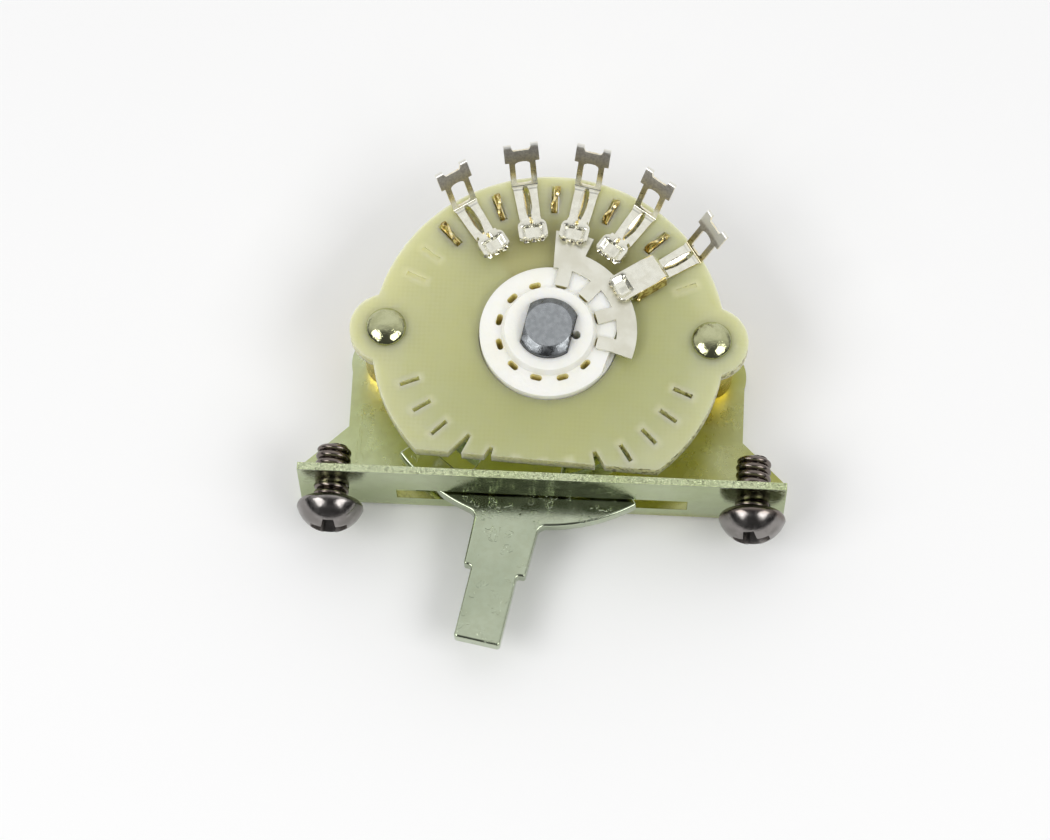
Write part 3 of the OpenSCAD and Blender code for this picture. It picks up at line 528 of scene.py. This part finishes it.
def clip_finish():
    """Bright on the jaws and the strip, olive at the bend and grey on the lug as painted reflections, and
    bright at its tip.
    """
    material, tree, shader = new_finish("clip_silver")
    radius = radius_of(tree)
    colour = blend_tone(tree, cloud(tree, 0.8, 0, 1), SILVER_LIGHT, SILVER_DARK)
    # Painted reflections: the wafer's olive at the bend, then grey of darker surroundings on the lug
    colour = blend_tone(tree, ramp(tree, radius, *WAFER_REFLECTION_FROM), colour, LUG_WAFER_REFLECTION)
    colour = blend_tone(tree, ramp(tree, radius, *DARK_REFLECTION_FROM), colour, LUG_DARK_REFLECTION)
    tarnish = product(tree, cloud(tree, 0.22, -0.1, 0.6, detail=4, sharp=0.2),
                      ramp(tree, radius, *TARNISHED_FROM))
    colour = blend_tone(tree, tarnish, colour, LUG_TARNISH)
    colour = blend_tone(tree, ramp(tree, radius, *TIP_FROM, 0, 0.9), colour, LUG_TIP)
    # The lug and the jaws' ends are duller than the strip
    roughness = total(tree, cloud(tree, 0.6, 0.11, 0.21), ramp(tree, radius, *DULL_FROM, 0, 0.2),
                      ramp(tree, radius, *DULL_JAWS, 0.07, 0))
    join(tree, shader, Base_Color=colour, Metallic=1.0, Roughness=roughness)
    dent(tree, shader, cloud(tree, 0.3, 0, 1, detail=2), 0.0015)
    return material


clip_silver = clip_finish()
# The tabs carry the wafer's yellow as gold, a painted reflection, in patches with dark painted shade
tab_gold_and_shade = silver_finish("tab_gold_and_shade", (242, 226, 164), (150, 122, 56), 0.14, 0.4)
cut_brass = silver_finish("cut_brass", (247, 236, 190), (236, 214, 142), 0.16, 0.4)
cut_silver = silver_finish("cut_silver", (245, 241, 226), (236, 226, 194), 0.16, 0.4)
PLATED, TAB, CUT_BRASS, CUT_SILVER = range(4)

# The two kinds of clip: distances from the pivot, the jaws' length, half the width at their
# root and the length of their riser, in millimetres
Clip = namedtuple("Clip", "bend_r strip_r tip_r jaw_l root_half riser is_long")
throw = Clip(bend_r=16.15, strip_r=11.91, tip_r=9.45, jaw_l=2.2, root_half=0.98, riser=0.5, is_long=False)
common = Clip(bend_r=16.8, strip_r=12.65, tip_r=7.5, jaw_l=4.6, root_half=1.3, riser=0.35, is_long=True)

CLIP_T = 0.25
WAFER_T = 1.6
BLADE_GAP = 1.13
FOLD_R = 0.26
RIDGE_H = 0.04
RIDGE_HALF = 0.2
LUG_L = 4.49
ARM_HALF = 1.32
EAR_HALF = 1.725
EARS_L = 0.37 * LUG_L
DIP_L = 0.33
DIP_HALF = 0.97
CURL = radians(60)
CURL_R = 0.2
TIP_L = 0.1
WINDOW_HALF = 0.75
WINDOW_CORNER = 0.28
WINDOW_FOOT = 0.16
WINDOW_TOP = 2.55
ARCH_L = 0.5
STRIP_COLUMNS = 4


def thicken(form, points, quads, thickness, face_slot, rim_slot):
    """Gives a sheet its thickness: both faces, and a rim along every open edge."""
    normals = [Vector((0, 0, 0)) for _ in points]
    for quad in quads:
        a, b, c, d = (points[k] for k in quad)
        outward = (c - a).cross(d - b)
        for k in quad:
            normals[k] += outward
    upper, lower = [], []
    for place, normal in zip(points, normals):
        half = normal.normalized() * thickness / 2
        upper.append(form.verts.new(place + half))
        lower.append(form.verts.new(place - half))
    sides = {(quad[k], quad[(k + 1) % 4]) for quad in quads for k in range(4)}
    for quad in quads:
        form.faces.new([upper[k] for k in quad]).material_index = face_slot
        form.faces.new([lower[k] for k in reversed(quad)]).material_index = face_slot
    for a, b in sides:
        if (b, a) not in sides:
            rim = form.faces.new((upper[b], upper[a], lower[a], lower[b]))
            rim.material_index = rim_slot(points[a])


def grid_sheet(form, rows, thickness, face_slot, cut_slot):
    """A sheet from rows of points, all of the same length."""
    count = len(rows[0])
    quads = [(i * count + j, i * count + j + 1, (i + 1) * count + j + 1, (i + 1) * count + j)
             for i in range(len(rows) - 1) for j in range(count - 1)]
    points = [point for row in rows for point in row]
    thicken(form, points, quads, thickness, face_slot, lambda point: cut_slot)


def banded_sheet(form, stations, place, thickness, face_slot, rim_slot):
    """A sheet of two halves. Each station is a distance, a half width and half the width of a hole."""
    points, quads, rows = [], [], []
    for distance, half, hole in stations:
        left = [-half + (half - hole) * k / STRIP_COLUMNS for k in range(STRIP_COLUMNS + 1)]
        row = []
        for across in left:
            row.append(len(points))
            points.append(place(distance, across))
        if hole == 0:
            right = [row[-1]]
        else:
            right = [len(points)]
            points.append(place(distance, hole))
        for across in reversed(left[:-1]):
            right.append(len(points))
            points.append(place(distance, -across))
        rows.append((row, right))
    for near, far in zip(rows, rows[1:]):
        for a, b in zip(near, far):
            for k in range(STRIP_COLUMNS):
                quads.append((a[k], a[k + 1], b[k + 1], b[k]))
    thicken(form, points, quads, thickness, face_slot, rim_slot)


def eased(share):
    """A smooth step from 0 to 1."""
    share = min(1, max(0.0, share))
    return share * share * (3 - 2 * share)


def lens_ends(clip):
    """Where the lens-shaped opening in the strip starts and ends."""
    return clip.strip_r + (0.05 if clip.is_long else 0.3), clip.bend_r - 0.12


def lens_half(share):
    """Half the width of the lens-shaped opening, from its inner end at 0 to its outer end at 1."""
    return 0.42 * min(1, 2.4 * share) ** 0.7 * (1 - share ** 6) ** 0.5 + 0.001


def arch_half(past):
    """Half the width of the lug's window, at a distance past the start of its rounded top."""
    return WINDOW_HALF * max(0.0, 1 - max(0.0, past / ARCH_L) ** 3.5) ** 0.5


def strip_stations(clip, bend_at, fold_l, lug_at):
    """The strip from the jaws to the end of the bend, widening outwards, with the lens in it."""
    lens_from, lens_to = lens_ends(clip)
    outline = [(clip.strip_r - 0.2, 0.98), (clip.strip_r + 0.5, 1.04), (clip.strip_r + 1.6, 1.1),
               (clip.bend_r - 1.0, 1.16), (clip.bend_r - 0.42, 1.2), (clip.bend_r - 0.24, 1.3),
               (clip.bend_r - 0.1, ARM_HALF), (lug_at + 0.01, ARM_HALF)]
    stops = [clip.strip_r - 0.2, clip.strip_r, lens_from - 0.01]
    stops += [lens_from + (lens_to - lens_from) * k / 14 for k in range(15)]
    stops += [bend_at - 0.06 * k for k in range(9)]
    stops += [bend_at + fold_l * k / 6 for k in range(7)]
    stations = []
    for s in sorted({round(s, 4) for s in stops if s <= lug_at}):
        (s0, half0), (s1, half1) = next(pair for pair in zip(outline, outline[1:]) if s <= pair[1][0])
        half = half0 + (half1 - half0) * max(0.0, s - s0) / (s1 - s0)
        share = (s - lens_from) / (lens_to - lens_from)
        stations.append((s, half, lens_half(share) if 0 <= share < 1 else 0))
    return stations


def lug_stations(lug_at, lug_end):
    """The lug: arms beside a window, a bridge that widens into two ears, and the dip between them."""
    foot, arch_at, ears_at = lug_at + WINDOW_FOOT, lug_at + WINDOW_TOP - 0.3, lug_end - EARS_L
    stations = [(foot - 0.01, ARM_HALF, 0)]
    for k in range(5):
        up = WINDOW_CORNER * (1 - cos(pi / 2 * k / 4))
        corner = sqrt(WINDOW_CORNER * WINDOW_CORNER - (WINDOW_CORNER - up) ** 2)
        stations.append((foot + up, ARM_HALF, WINDOW_HALF - WINDOW_CORNER + corner))
    arch = [ARCH_L * sin(pi / 2 * k / 6) for k in range(7)]
    arch = [(arch_at + past, arch_half(past)) for past in arch]
    hole_at_ears = arch_half(ears_at - arch_at)
    stations += [(s, ARM_HALF, hole) for s, hole in arch if s < ears_at - 0.02]
    stations += [(ears_at - 0.012, ARM_HALF, hole_at_ears), (ears_at + 0.012, EAR_HALF, hole_at_ears)]
    stations += [(s, EAR_HALF, hole) for s, hole in arch if s > ears_at + 0.02]
    stations += [(lug_end - DIP_L - 0.01, EAR_HALF, 0), (lug_end - DIP_L, EAR_HALF, DIP_HALF - 0.2),
                 (lug_end - 0.02, EAR_HALF, DIP_HALF)]
    stations += [(lug_end + CURL_R * CURL * k / 5, EAR_HALF, DIP_HALF) for k in range(1, 6)]
    return stations + [(lug_end + CURL_R * CURL + TIP_L, EAR_HALF, DIP_HALF)]


def add_strip_and_lug(form, clip, lean):
    """The flat strip, the bend, the leaning lug and the curled tips of its ears, as one sheet."""
    near = FOLD_R * sin(lean / 2) / cos(lean / 2)
    bend_at, fold_l, lug_l = clip.bend_r - near, FOLD_R * lean, LUG_L - near

    def middle(s, across):
        """The point of the sheet's middle at a distance s along it."""
        if s <= bend_at:
            ridge = max(0.0, 1 - ((s - bend_at + RIDGE_HALF) / RIDGE_HALF) ** 2)
            return Vector((across, s, CLIP_T / 2 + RIDGE_H * ridge))
        s -= bend_at
        if s <= fold_l:
            turned = s / FOLD_R
            return Vector((across, bend_at + FOLD_R * sin(turned), CLIP_T / 2 + FOLD_R * (1 - cos(turned))))
        s -= fold_l
        r, z = bend_at + FOLD_R * sin(lean), CLIP_T / 2 + FOLD_R * (1 - cos(lean))
        if s <= lug_l:
            return Vector((across, r + s * cos(lean), z + s * sin(lean)))
        r, z, s = r + lug_l * cos(lean), z + lug_l * sin(lean), s - lug_l
        turned = min(s / CURL_R, CURL)
        r += CURL_R * (sin(lean) - sin(lean - turned))
        z += CURL_R * (cos(lean - turned) - cos(lean))
        rest = max(0.0, s - CURL_R * CURL)
        return Vector((across, r + rest * cos(lean - turned), z + rest * sin(lean - turned)))

    lug_at = bend_at + fold_l
    stations = strip_stations(clip, bend_at, fold_l, lug_at) + lug_stations(lug_at, lug_at + lug_l)
    banded_sheet(form, stations, middle, CLIP_T, PLATED,
                 lambda point: CUT_SILVER if point.y > clip.bend_r - 0.5 else CUT_BRASS)


JAW_HALF = 1.43
JAW_TIP_SHARE = 0.78
JAW_TIP_L = 0.45
SHOULDER_L = 0.75
SHOULDER_FALL = 0.62
ROOT_LAP = 0.32
PLATFORM_END_L = 0.34
PLATFORM_FALL = 0.5
CUP_L = 1.75
CUP_Z = BLADE_GAP + CLIP_T / 2
CUP_RISE = 0.42
CUP_RIDGE_H = 0.09
CUP_RIDGE_HALF = 0.4
NECK_GROOVE_H = 0.3
NECK_GROOVE_HALF = 0.24
LIP_L = 0.6
LIP_RISE = 0.3
LIP_FALL = 0.22
SCALLOP_DEEP = 0.26
SCALLOP_L = 0.55
LOWER_LEAF_Z = BLADE_GAP - 0.36 - CLIP_T / 2
LOWER_LEAF_BACK = 0.34
LOWER_LEAF_NARROWED = 0.95


def dish_height(clip, u, from_tip, notch):
    """The upper leaf over the blade: raised sides and back, a low ridge in the cup and three lips."""
    side = eased((abs(u) - 0.4) / 0.55)
    back = eased((from_tip - CUP_L + 0.2) / 0.2)
    rim = 1 - (1 - side) * (1 - back)
    lip = max(0.0, 1 - from_tip / LIP_L)
    z = CUP_Z + CUP_RISE * rim + LIP_RISE * (1 - notch) * lip * lip * (1 - 0.6 * side)
    z += CUP_RIDGE_H * (1 - rim) * max(0.0, 1 - abs(u + 0.08) / CUP_RIDGE_HALF)
    if not clip.is_long:
        z -= NECK_GROOVE_H * back * max(0.0, 1 - abs(u) / NECK_GROOVE_HALF)
    return z


def add_jaw(form, clip, up):
    """One leaf of the jaws. The upper is a dish with three lips, and the lower is flatter and shorter."""
    lines, columns = (30, 30) if up else (14, 12)
    tip, narrowed = (clip.tip_r, 1) if up else (clip.tip_r + LOWER_LEAF_BACK, LOWER_LEAF_NARROWED)
    root = clip.strip_r + ROOT_LAP
    rows = []
    for i in range(lines + 1):
        r = tip + (root - tip) * i / lines
        from_tip = r - tip
        wide = JAW_HALF * min(1, JAW_TIP_SHARE + (1 - JAW_TIP_SHARE) * sqrt(from_tip / JAW_TIP_L))
        shoulder = min(1, max(0.0, (r - (clip.tip_r + clip.jaw_l - SHOULDER_L)) / SHOULDER_FALL))
        wide = clip.root_half + (wide - clip.root_half) * sqrt(1 - shoulder * shoulder)
        row = []
        for j in range(columns + 1):
            u = 2 * j / columns - 1
            notch = 1 - abs(cos(1.5 * pi * u)) ** 0.35
            if up:
                z = dish_height(clip, u, from_tip, notch)
            else:
                z = LOWER_LEAF_Z - LIP_FALL * max(0.0, 1 - from_tip / LIP_L) ** 2
            if up and clip.is_long:
                # A platform, its outer end let down towards the strip
                z -= PLATFORM_FALL * eased(1 - (root - r) / PLATFORM_END_L)
            else:
                z = CLIP_T / 2 + (z - CLIP_T / 2) * eased((root - r) / clip.riser)
            scallop = SCALLOP_DEEP * notch * max(0.0, 1 - from_tip / SCALLOP_L)
            row.append(Vector((u * wide * narrowed, r + scallop, z)))
        rows.append(row)
    grid_sheet(form, rows, CLIP_T, PLATED, CUT_SILVER)


def add_platform_sides(form, clip):
    """The long clip's platform has sides folded down to the wafer, and a foot that joins the strip."""
    top_z, foot_z = CUP_Z + CUP_RISE, 0.13
    inner, outer = clip.tip_r + CUP_L + 0.1, clip.strip_r + ROOT_LAP - 0.35
    for x in (-JAW_HALF + 0.06, JAW_HALF - 0.06):
        rows = []
        for i in range(9):
            r = inner + (outer - inner) * i / 8
            row = []
            for k in range(6):
                down = k / 5
                row.append(Vector((x * (1 + 0.1 * down), r, top_z - (top_z - foot_z) * down)))
            rows.append(row)
        grid_sheet(form, rows, 0.16, TAB, CUT_BRASS)
    foot_half = 1.1
    rows = []
    for back in (0.1, 0.9, 1.7):
        rows.append([Vector((x, clip.strip_r - back, CLIP_T / 2)) for x in (-foot_half, 0, foot_half)])
    grid_sheet(form, rows, CLIP_T, PLATED, CUT_SILVER)


def add_bead(form, centre, radius):
    """A small rounded lump where folded edges meet."""
    ball = bmesh.ops.create_uvsphere(form, u_segments=14, v_segments=9, radius=radius,
                                     matrix=Matrix.Translation(centre))
    for face in {face for vert in ball["verts"] for face in vert.link_faces}:
        face.material_index = CUT_BRASS


def add_flank(form, clip):
    """Folded down from the left side of the lens, towards the tab."""
    lens_from, lens_to = lens_ends(clip)
    rows = []
    for i in range(15):
        share = 0.1 + 0.86 * i / 14
        half, r = lens_half(share), lens_from + (lens_to - lens_from) * share
        row = []
        for k in range(7):
            down = k / 6
            x = -half - 0.03 + (1.55 * half + 0.03) * down
            row.append(Vector((x, r, CLIP_T / 2 - 0.06 - 0.5 * down ** 1.3)))
        rows.append(row)
    grid_sheet(form, rows, 0.1, PLATED, CUT_SILVER)


TAB_L = 2.75
TAB_H = 0.74
TAB_T = 0.26
TAB_TWIST = radians(15)
STEM_T = 0.4


def add_tab(form):
    """Goes through the slot, then stands out of it with its ends twisted and curled, so that it locks."""
    rows = []
    for i in range(17):
        along = TAB_L * (i / 16 - 0.5)
        end = abs(2 * along / TAB_L)
        tall = TAB_H * sqrt(1 - 0.98 * end ** 5) * (0.72 + 0.28 * min(1, end / 0.35))
        row = []
        for k in range(9):
            share = k / 8
            twist = TAB_TWIST * share * tall / TAB_H
            curl = (0.3 if along > 0 else -0.2) * share ** 2.5 * end
            row.append(Vector((along * sin(twist) + curl, SLOT_R + along * cos(twist),
                               0.05 - WAFER_T - tall * (share - 0.22 * end * share ** 4))))
        rows.append(row)
    grid_sheet(form, rows, TAB_T, TAB, CUT_BRASS)
    stem_l = TAB_L - 0.3
    rows = []
    for i in range(5):
        r = SLOT_R + stem_l * (i / 4 - 0.5)
        rows.append([Vector((0, r, z)) for z in (-0.45, -0.8, 0.06 - WAFER_T)])
    grid_sheet(form, rows, STEM_T, TAB, CUT_BRASS)


def clip_form(clip, lean):
    """One clip, drawn along +Y with z = 0 on the wafer's face."""
    form = bmesh.new()
    add_strip_and_lug(form, clip, lean)
    add_jaw(form, clip, up=True)
    add_jaw(form, clip, up=False)
    if clip.is_long:
        add_platform_sides(form, clip)
        add_bead(form, Vector((JAW_HALF + 0.1, clip.tip_r + CUP_L + 0.15, 0.3)), 0.25)
    else:
        add_bead(form, Vector((0, clip.strip_r - 0.36, 1.46)), 0.32)
        add_bead(form, Vector((0.02, lens_ends(clip)[0] + 0.3, 0.12)), 0.16)
    add_flank(form, clip)
    add_tab(form)
    bmesh.ops.recalc_face_normals(form, faces=form.faces)
    return form


def place_object(name, mesh, material):
    piece = bpy.data.objects.new(name, mesh)
    bpy.context.collection.objects.link(piece)
    mesh.materials.append(material)
    return piece


CLIP_STEP = 22.5
FIRST_CLIP_AT = -33.75
LOWER_OFFSET = 11.25
LEAN = {"top": radians(57), "bottom": radians(72)}


def build_clip(level, number):
    """The fifth clip on each face is the long common one. The lower five are mirrored, half a step back."""
    name = f"clip_{level}_{number}"
    form = clip_form(common if number == 5 else throw, LEAN[level])
    mesh = bpy.data.meshes.new(name)
    form.to_mesh(mesh)
    form.free()
    wafer_low, wafer_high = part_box("wafer")
    step = FIRST_CLIP_AT + CLIP_STEP * (number - 1) - (0 if level == "top" else LOWER_OFFSET)
    spin = Matrix.Rotation(radians(-step), 4, "Z")
    if level == "top":
        stand = Matrix.Translation((0, 0, wafer_high.z / MM)) @ spin
    else:
        stand = Matrix.Translation((0, 0, wafer_low.z / MM)) @ spin @ Matrix.Scale(-1, 4, (0, 0, 1))
    mesh.transform(Matrix.Scale(MM, 4) @ stand)
    if level == "bottom":
        mesh.flip_normals()
    mesh.shade_smooth()
    piece = place_object(name + "_folded", mesh, clip_silver)
    for finish in (tab_gold_and_shade, cut_brass, cut_silver):
        mesh.materials.append(finish)
    round_edges(piece, 0.045, steps=2, angle=40)
    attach(piece, "frame")
    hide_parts(name)


for level in ("top", "bottom"):
    for number in range(1, 6):
        build_clip(level, number)


# MOUNTING SCREWS
# Two cross-recessed screws with a tall round head, black nickel plated, run part way through
# the plate's tapped holes.
HEAD_H = 3.0
HEAD_SIDE_H = 0.65
HEAD_UNDER = 0.16
SEAT_IN = 0.3
THREAD_R = 1.73
THREAD_PITCH = 0.79
THREAD_DEPTH = 0.42
THREAD_END_DEPTH = 0.4
THREAD_END_L = 0.6
RECESS_W = 1.05
RECESS_L = 3.6
RECESS_DEEP = 1.9
HEAD_LIGHT = tone(144, 140, 137)
HEAD_DARK = tone(128, 124, 121)
THREAD_BROWN = tone(118, 109, 103)


def screw_finish():
    """Black nickel, browner and darker on the thread than on the head."""
    material, tree, shader = new_finish("screw_black_nickel")
    colour = blend_tone(tree, cloud(tree, 1.2, 0, 1), HEAD_LIGHT, HEAD_DARK)
    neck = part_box("screw_left")[0].y + HEAD_H * MM
    threaded = spread(tree, parts_of(tree)["Y"], neck - 0.5 * MM, neck, 0, 1)
    colour = blend_tone(tree, threaded, colour, THREAD_BROWN)
    join(tree, shader, Base_Color=colour, Metallic=1.0, Roughness=cloud(tree, 0.5, 0.15, 0.24))
    dent(tree, shader, cloud(tree, 0.15, 0, 1), 0.002)
    return material


black_nickel = screw_finish()


def lathe_mesh(name, rings, count, radius_at):
    """A closed skin round the Z axis. Each ring is a height, and radius_at gives its radius at an angle."""
    points, faces = [], []
    for height in rings:
        for i in range(count):
            angle = 2 * pi * i / count
            radius = radius_at(height, angle)
            points.append((radius * cos(angle), radius * sin(angle), height))
    for ring in range(len(rings) - 1):
        for i in range(count):
            a, b = ring * count + i, ring * count + (i + 1) % count
            faces.append((a, b, b + count, a + count))
    faces.append(tuple(reversed(range(count))))
    faces.append(tuple(range((len(rings) - 1) * count, len(rings) * count)))
    mesh = bpy.data.meshes.new(name)
    mesh.from_pydata(points, [], faces)
    return mesh


def recess_mesh():
    """The driver's cross: four wings that narrow towards the bottom."""
    form = bmesh.new()
    outer, inner = RECESS_L / 2, RECESS_W / 2
    root = inner * 1.25
    top, low = HEAD_H + 0.6, HEAD_H - RECESS_DEEP
    shape = [(outer, -inner), (outer, inner), (root, root), (inner, outer), (-inner, outer), (-root, root),
             (-outer, inner), (-outer, -inner), (-root, -root), (-inner, -outer), (inner, -outer),
             (root, -root)]
    levels = []
    for height, share in ((top, 1.25), (HEAD_H - 0.5, 1.0), (low + 0.35, 0.62), (low, 0.3)):
        ring = []
        for x, y in shape:
            narrowed = share if abs(y) > inner * 1.1 else 0.5 + share / 2
            ring.append(form.verts.new((x * share, y * narrowed, height)))
        levels.append(ring)
    for upper, lower in zip(levels, levels[1:]):
        for i in range(len(shape)):
            j = (i + 1) % len(shape)
            form.faces.new((upper[i], lower[i], lower[j], upper[j]))
    form.faces.new(list(reversed(levels[-1])))
    form.faces.new(levels[0])
    bmesh.ops.recalc_face_normals(form, faces=form.faces)
    mesh = bpy.data.meshes.new("recess")
    form.to_mesh(mesh)
    form.free()
    return mesh


def head_mesh(head_r, turn):
    """A rounded underside and a dome, with the cross cut into it."""
    dome_h = HEAD_H - HEAD_SIDE_H
    ball_r = (head_r * head_r + dome_h * dome_h) / (2 * dome_h)
    arc = asin(head_r / ball_r)
    under = head_r * HEAD_UNDER
    profile = [(0, head_r - under - SEAT_IN), (0.005, head_r - under)]
    for i in range(1, 8):
        a = pi / 2 * i / 8
        profile.append((HEAD_SIDE_H * (1 - cos(a)), head_r - under * (1 - sin(a))))
    for i in range(18):
        a = arc * (1 - i / 18)
        profile.append((HEAD_SIDE_H + dome_h - ball_r + ball_r * cos(a), ball_r * sin(a)))
    profile.append((HEAD_H, 0.02))
    radii = dict(profile)
    turned = lathe_mesh("screw_head", list(radii), 64, lambda height, angle: radii[height])
    head = place_object("head", turned, black_nickel)
    cutter = place_object("cutter", recess_mesh(), black_nickel)
    cutter.rotation_euler = (0, 0, turn)
    cut = head.modifiers.new("recess", "BOOLEAN")
    cut.operation = "DIFFERENCE"
    cut.object = cutter
    bpy.context.view_layer.update()
    mesh = bpy.data.meshes.new_from_object(head.evaluated_get(bpy.context.evaluated_depsgraph_get()))
    for spare in (head, cutter):
        bpy.data.objects.remove(spare)
    return mesh


def shank_mesh(length):
    """The thread runs round a plain core, and fades out at its end."""
    def thread_radius(height, angle):
        phase = (-height / THREAD_PITCH - angle / (2 * pi)) % 1
        crest = sqrt(max(0.0, 1 - (2.05 * phase - 1.025) ** 2))
        lead = min(1.0, (height + length) / THREAD_END_L)
        return THREAD_R - THREAD_DEPTH * (1 - crest) - THREAD_END_DEPTH * (1 - lead) ** 2

    rings = [-length + i * THREAD_PITCH / 16 for i in range(int(length / THREAD_PITCH * 16))] + [0.05]
    return lathe_mesh("shank", rings, 60, thread_radius)


def build_screw(side, turn):
    """One screw, its cross turned by an angle."""
    name = "screw_" + side
    low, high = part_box(name)
    axis_x, axis_z = (low.x + high.x) / 2 / MM, (low.z + high.z) / 2 / MM
    form = bmesh.new()
    form.from_mesh(head_mesh((high.x - low.x) / 2 / MM, turn))
    form.from_mesh(shank_mesh((high.y - low.y) / MM - HEAD_H))
    mesh = bpy.data.meshes.new(name)
    form.to_mesh(mesh)
    form.free()
    # From the screw's own axis to the plate, head towards -Y
    stand = Matrix.Translation((axis_x, low.y / MM + HEAD_H, axis_z)) @ Matrix.Rotation(pi / 2, 4, "X")
    mesh.transform(Matrix.Scale(MM, 4) @ stand)
    mesh.shade_smooth()
    mesh.set_sharp_from_angle(angle=radians(38))
    piece = place_object(name + "_threaded", mesh, black_nickel)
    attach(piece, "frame")
    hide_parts(name)


build_screw("left", 0.0)
build_screw("right", radians(12))


# FLOOR
# A plain near-white sheet that the switch stands on. It lies a hair below the base, so that
# the two faces don't share one plane.
FLOOR_REACH = 1500 * MM
FLOOR_GAP = 0.02
FLOOR_WHITE = (0.94, 0.94, 0.94, 1)


def floor_finish():
    material, tree, shader = new_finish("floor")
    join(tree, shader, Base_Color=FLOOR_WHITE, Roughness=0.9, Specular_IOR_Level=0.1)
    return material


floor_mesh = bpy.data.meshes.new("floor")
floor_corners = [(-FLOOR_REACH, -FLOOR_REACH, 0), (FLOOR_REACH, -FLOOR_REACH, 0),
                 (FLOOR_REACH, FLOOR_REACH, 0), (-FLOOR_REACH, FLOOR_REACH, 0)]
floor_mesh.from_pydata(floor_corners, [], [(0, 1, 2, 3)])
floor = place_object("floor", floor_mesh, floor_finish())
floor.location.z = cad_low.z - FLOOR_GAP * MM


# LIGHT
# A pale backdrop behind the switch, dim towards the front and darker low at the sides, and two
# large soft lamps at the front left and right. The camera sees plain white beyond the floor.
BACKDROP = 0.96
FRONT = 0.1
DARK_SIDES = 0.3
world = bpy.data.worlds.new("world")
bpy.context.scene.world = world
world.use_nodes = True
sky = world.node_tree
background = sky.nodes["Background"]
away = add(sky, "ShaderNodeSeparateXYZ", {0: add(sky, "ShaderNodeTexCoord").outputs["Generated"]}).outputs
behind = spread(sky, away["Y"], -0.45, 0.45, FRONT, BACKDROP)
sides = maths(sky, "MAXIMUM", spread(sky, maths(sky, "ABSOLUTE", away["X"]), 0.55, 0.95, 1.0, DARK_SIDES),
              spread(sky, away["Z"], 0.1, 0.4, 0, 1))
seen = add(sky, "ShaderNodeLightPath").outputs["Is Camera Ray"]
background.inputs["Color"].default_value = (1, 1, 1, 1)
sky.links.new(maths(sky, "MAXIMUM", product(sky, behind, sides), seen), background.inputs["Strength"])

LAMP_W = 0.72
LAMP_H = 0.42


def soft_lamp(name, place, watts):
    """A soft box that looks at the pivot."""
    data = bpy.data.lights.new(name, "AREA")
    data.shape = "RECTANGLE"
    data.size = LAMP_W
    data.size_y = LAMP_H
    data.energy = watts
    lamp = bpy.data.objects.new(name, data)
    bpy.context.collection.objects.link(lamp)
    lamp.location = place
    lamp.rotation_euler = (-lamp.location).to_track_quat("-Z", "Y").to_euler()


soft_lamp("left_lamp", (-0.62, -0.38, 0.69), 4.3)
soft_lamp("right_lamp", (0.62, -0.38, 0.69), 3.8)


# CAMERA
# A long lens looking down on the wafer from the lever's side. Its angle, roll and distance were
# solved from the photograph, and its lens gives the same field of view.
look_round = radians(-3.96)
look_down = radians(69.18)
look_roll = radians(-1.24)
aim_offset = Vector((2.41, 4.71, 403.4)) * MM
forward = Vector((sin(look_round) * cos(look_down), cos(look_round) * cos(look_down), -sin(look_down)))
across = Vector((cos(look_round), -sin(look_round), 0))
raised = across.cross(forward)
right = cos(look_roll) * across + sin(look_roll) * raised
up = cos(look_roll) * raised - sin(look_roll) * across
camera_data = bpy.data.cameras.new("camera")
camera_data.sensor_width = 36
camera_data.lens = 137.57
camera_data.clip_start = 0.01
camera_data.clip_end = 10
camera = bpy.data.objects.new("camera", camera_data)
bpy.context.collection.objects.link(camera)
place = -(right * aim_offset.x + up * aim_offset.y + forward * aim_offset.z)
turn = Matrix((right, up, -forward)).transposed()
camera.matrix_world = Matrix.Translation(place) @ turn.to_4x4()
bpy.context.scene.camera = camera
bpy.context.scene.view_settings.view_transform = "Standard"
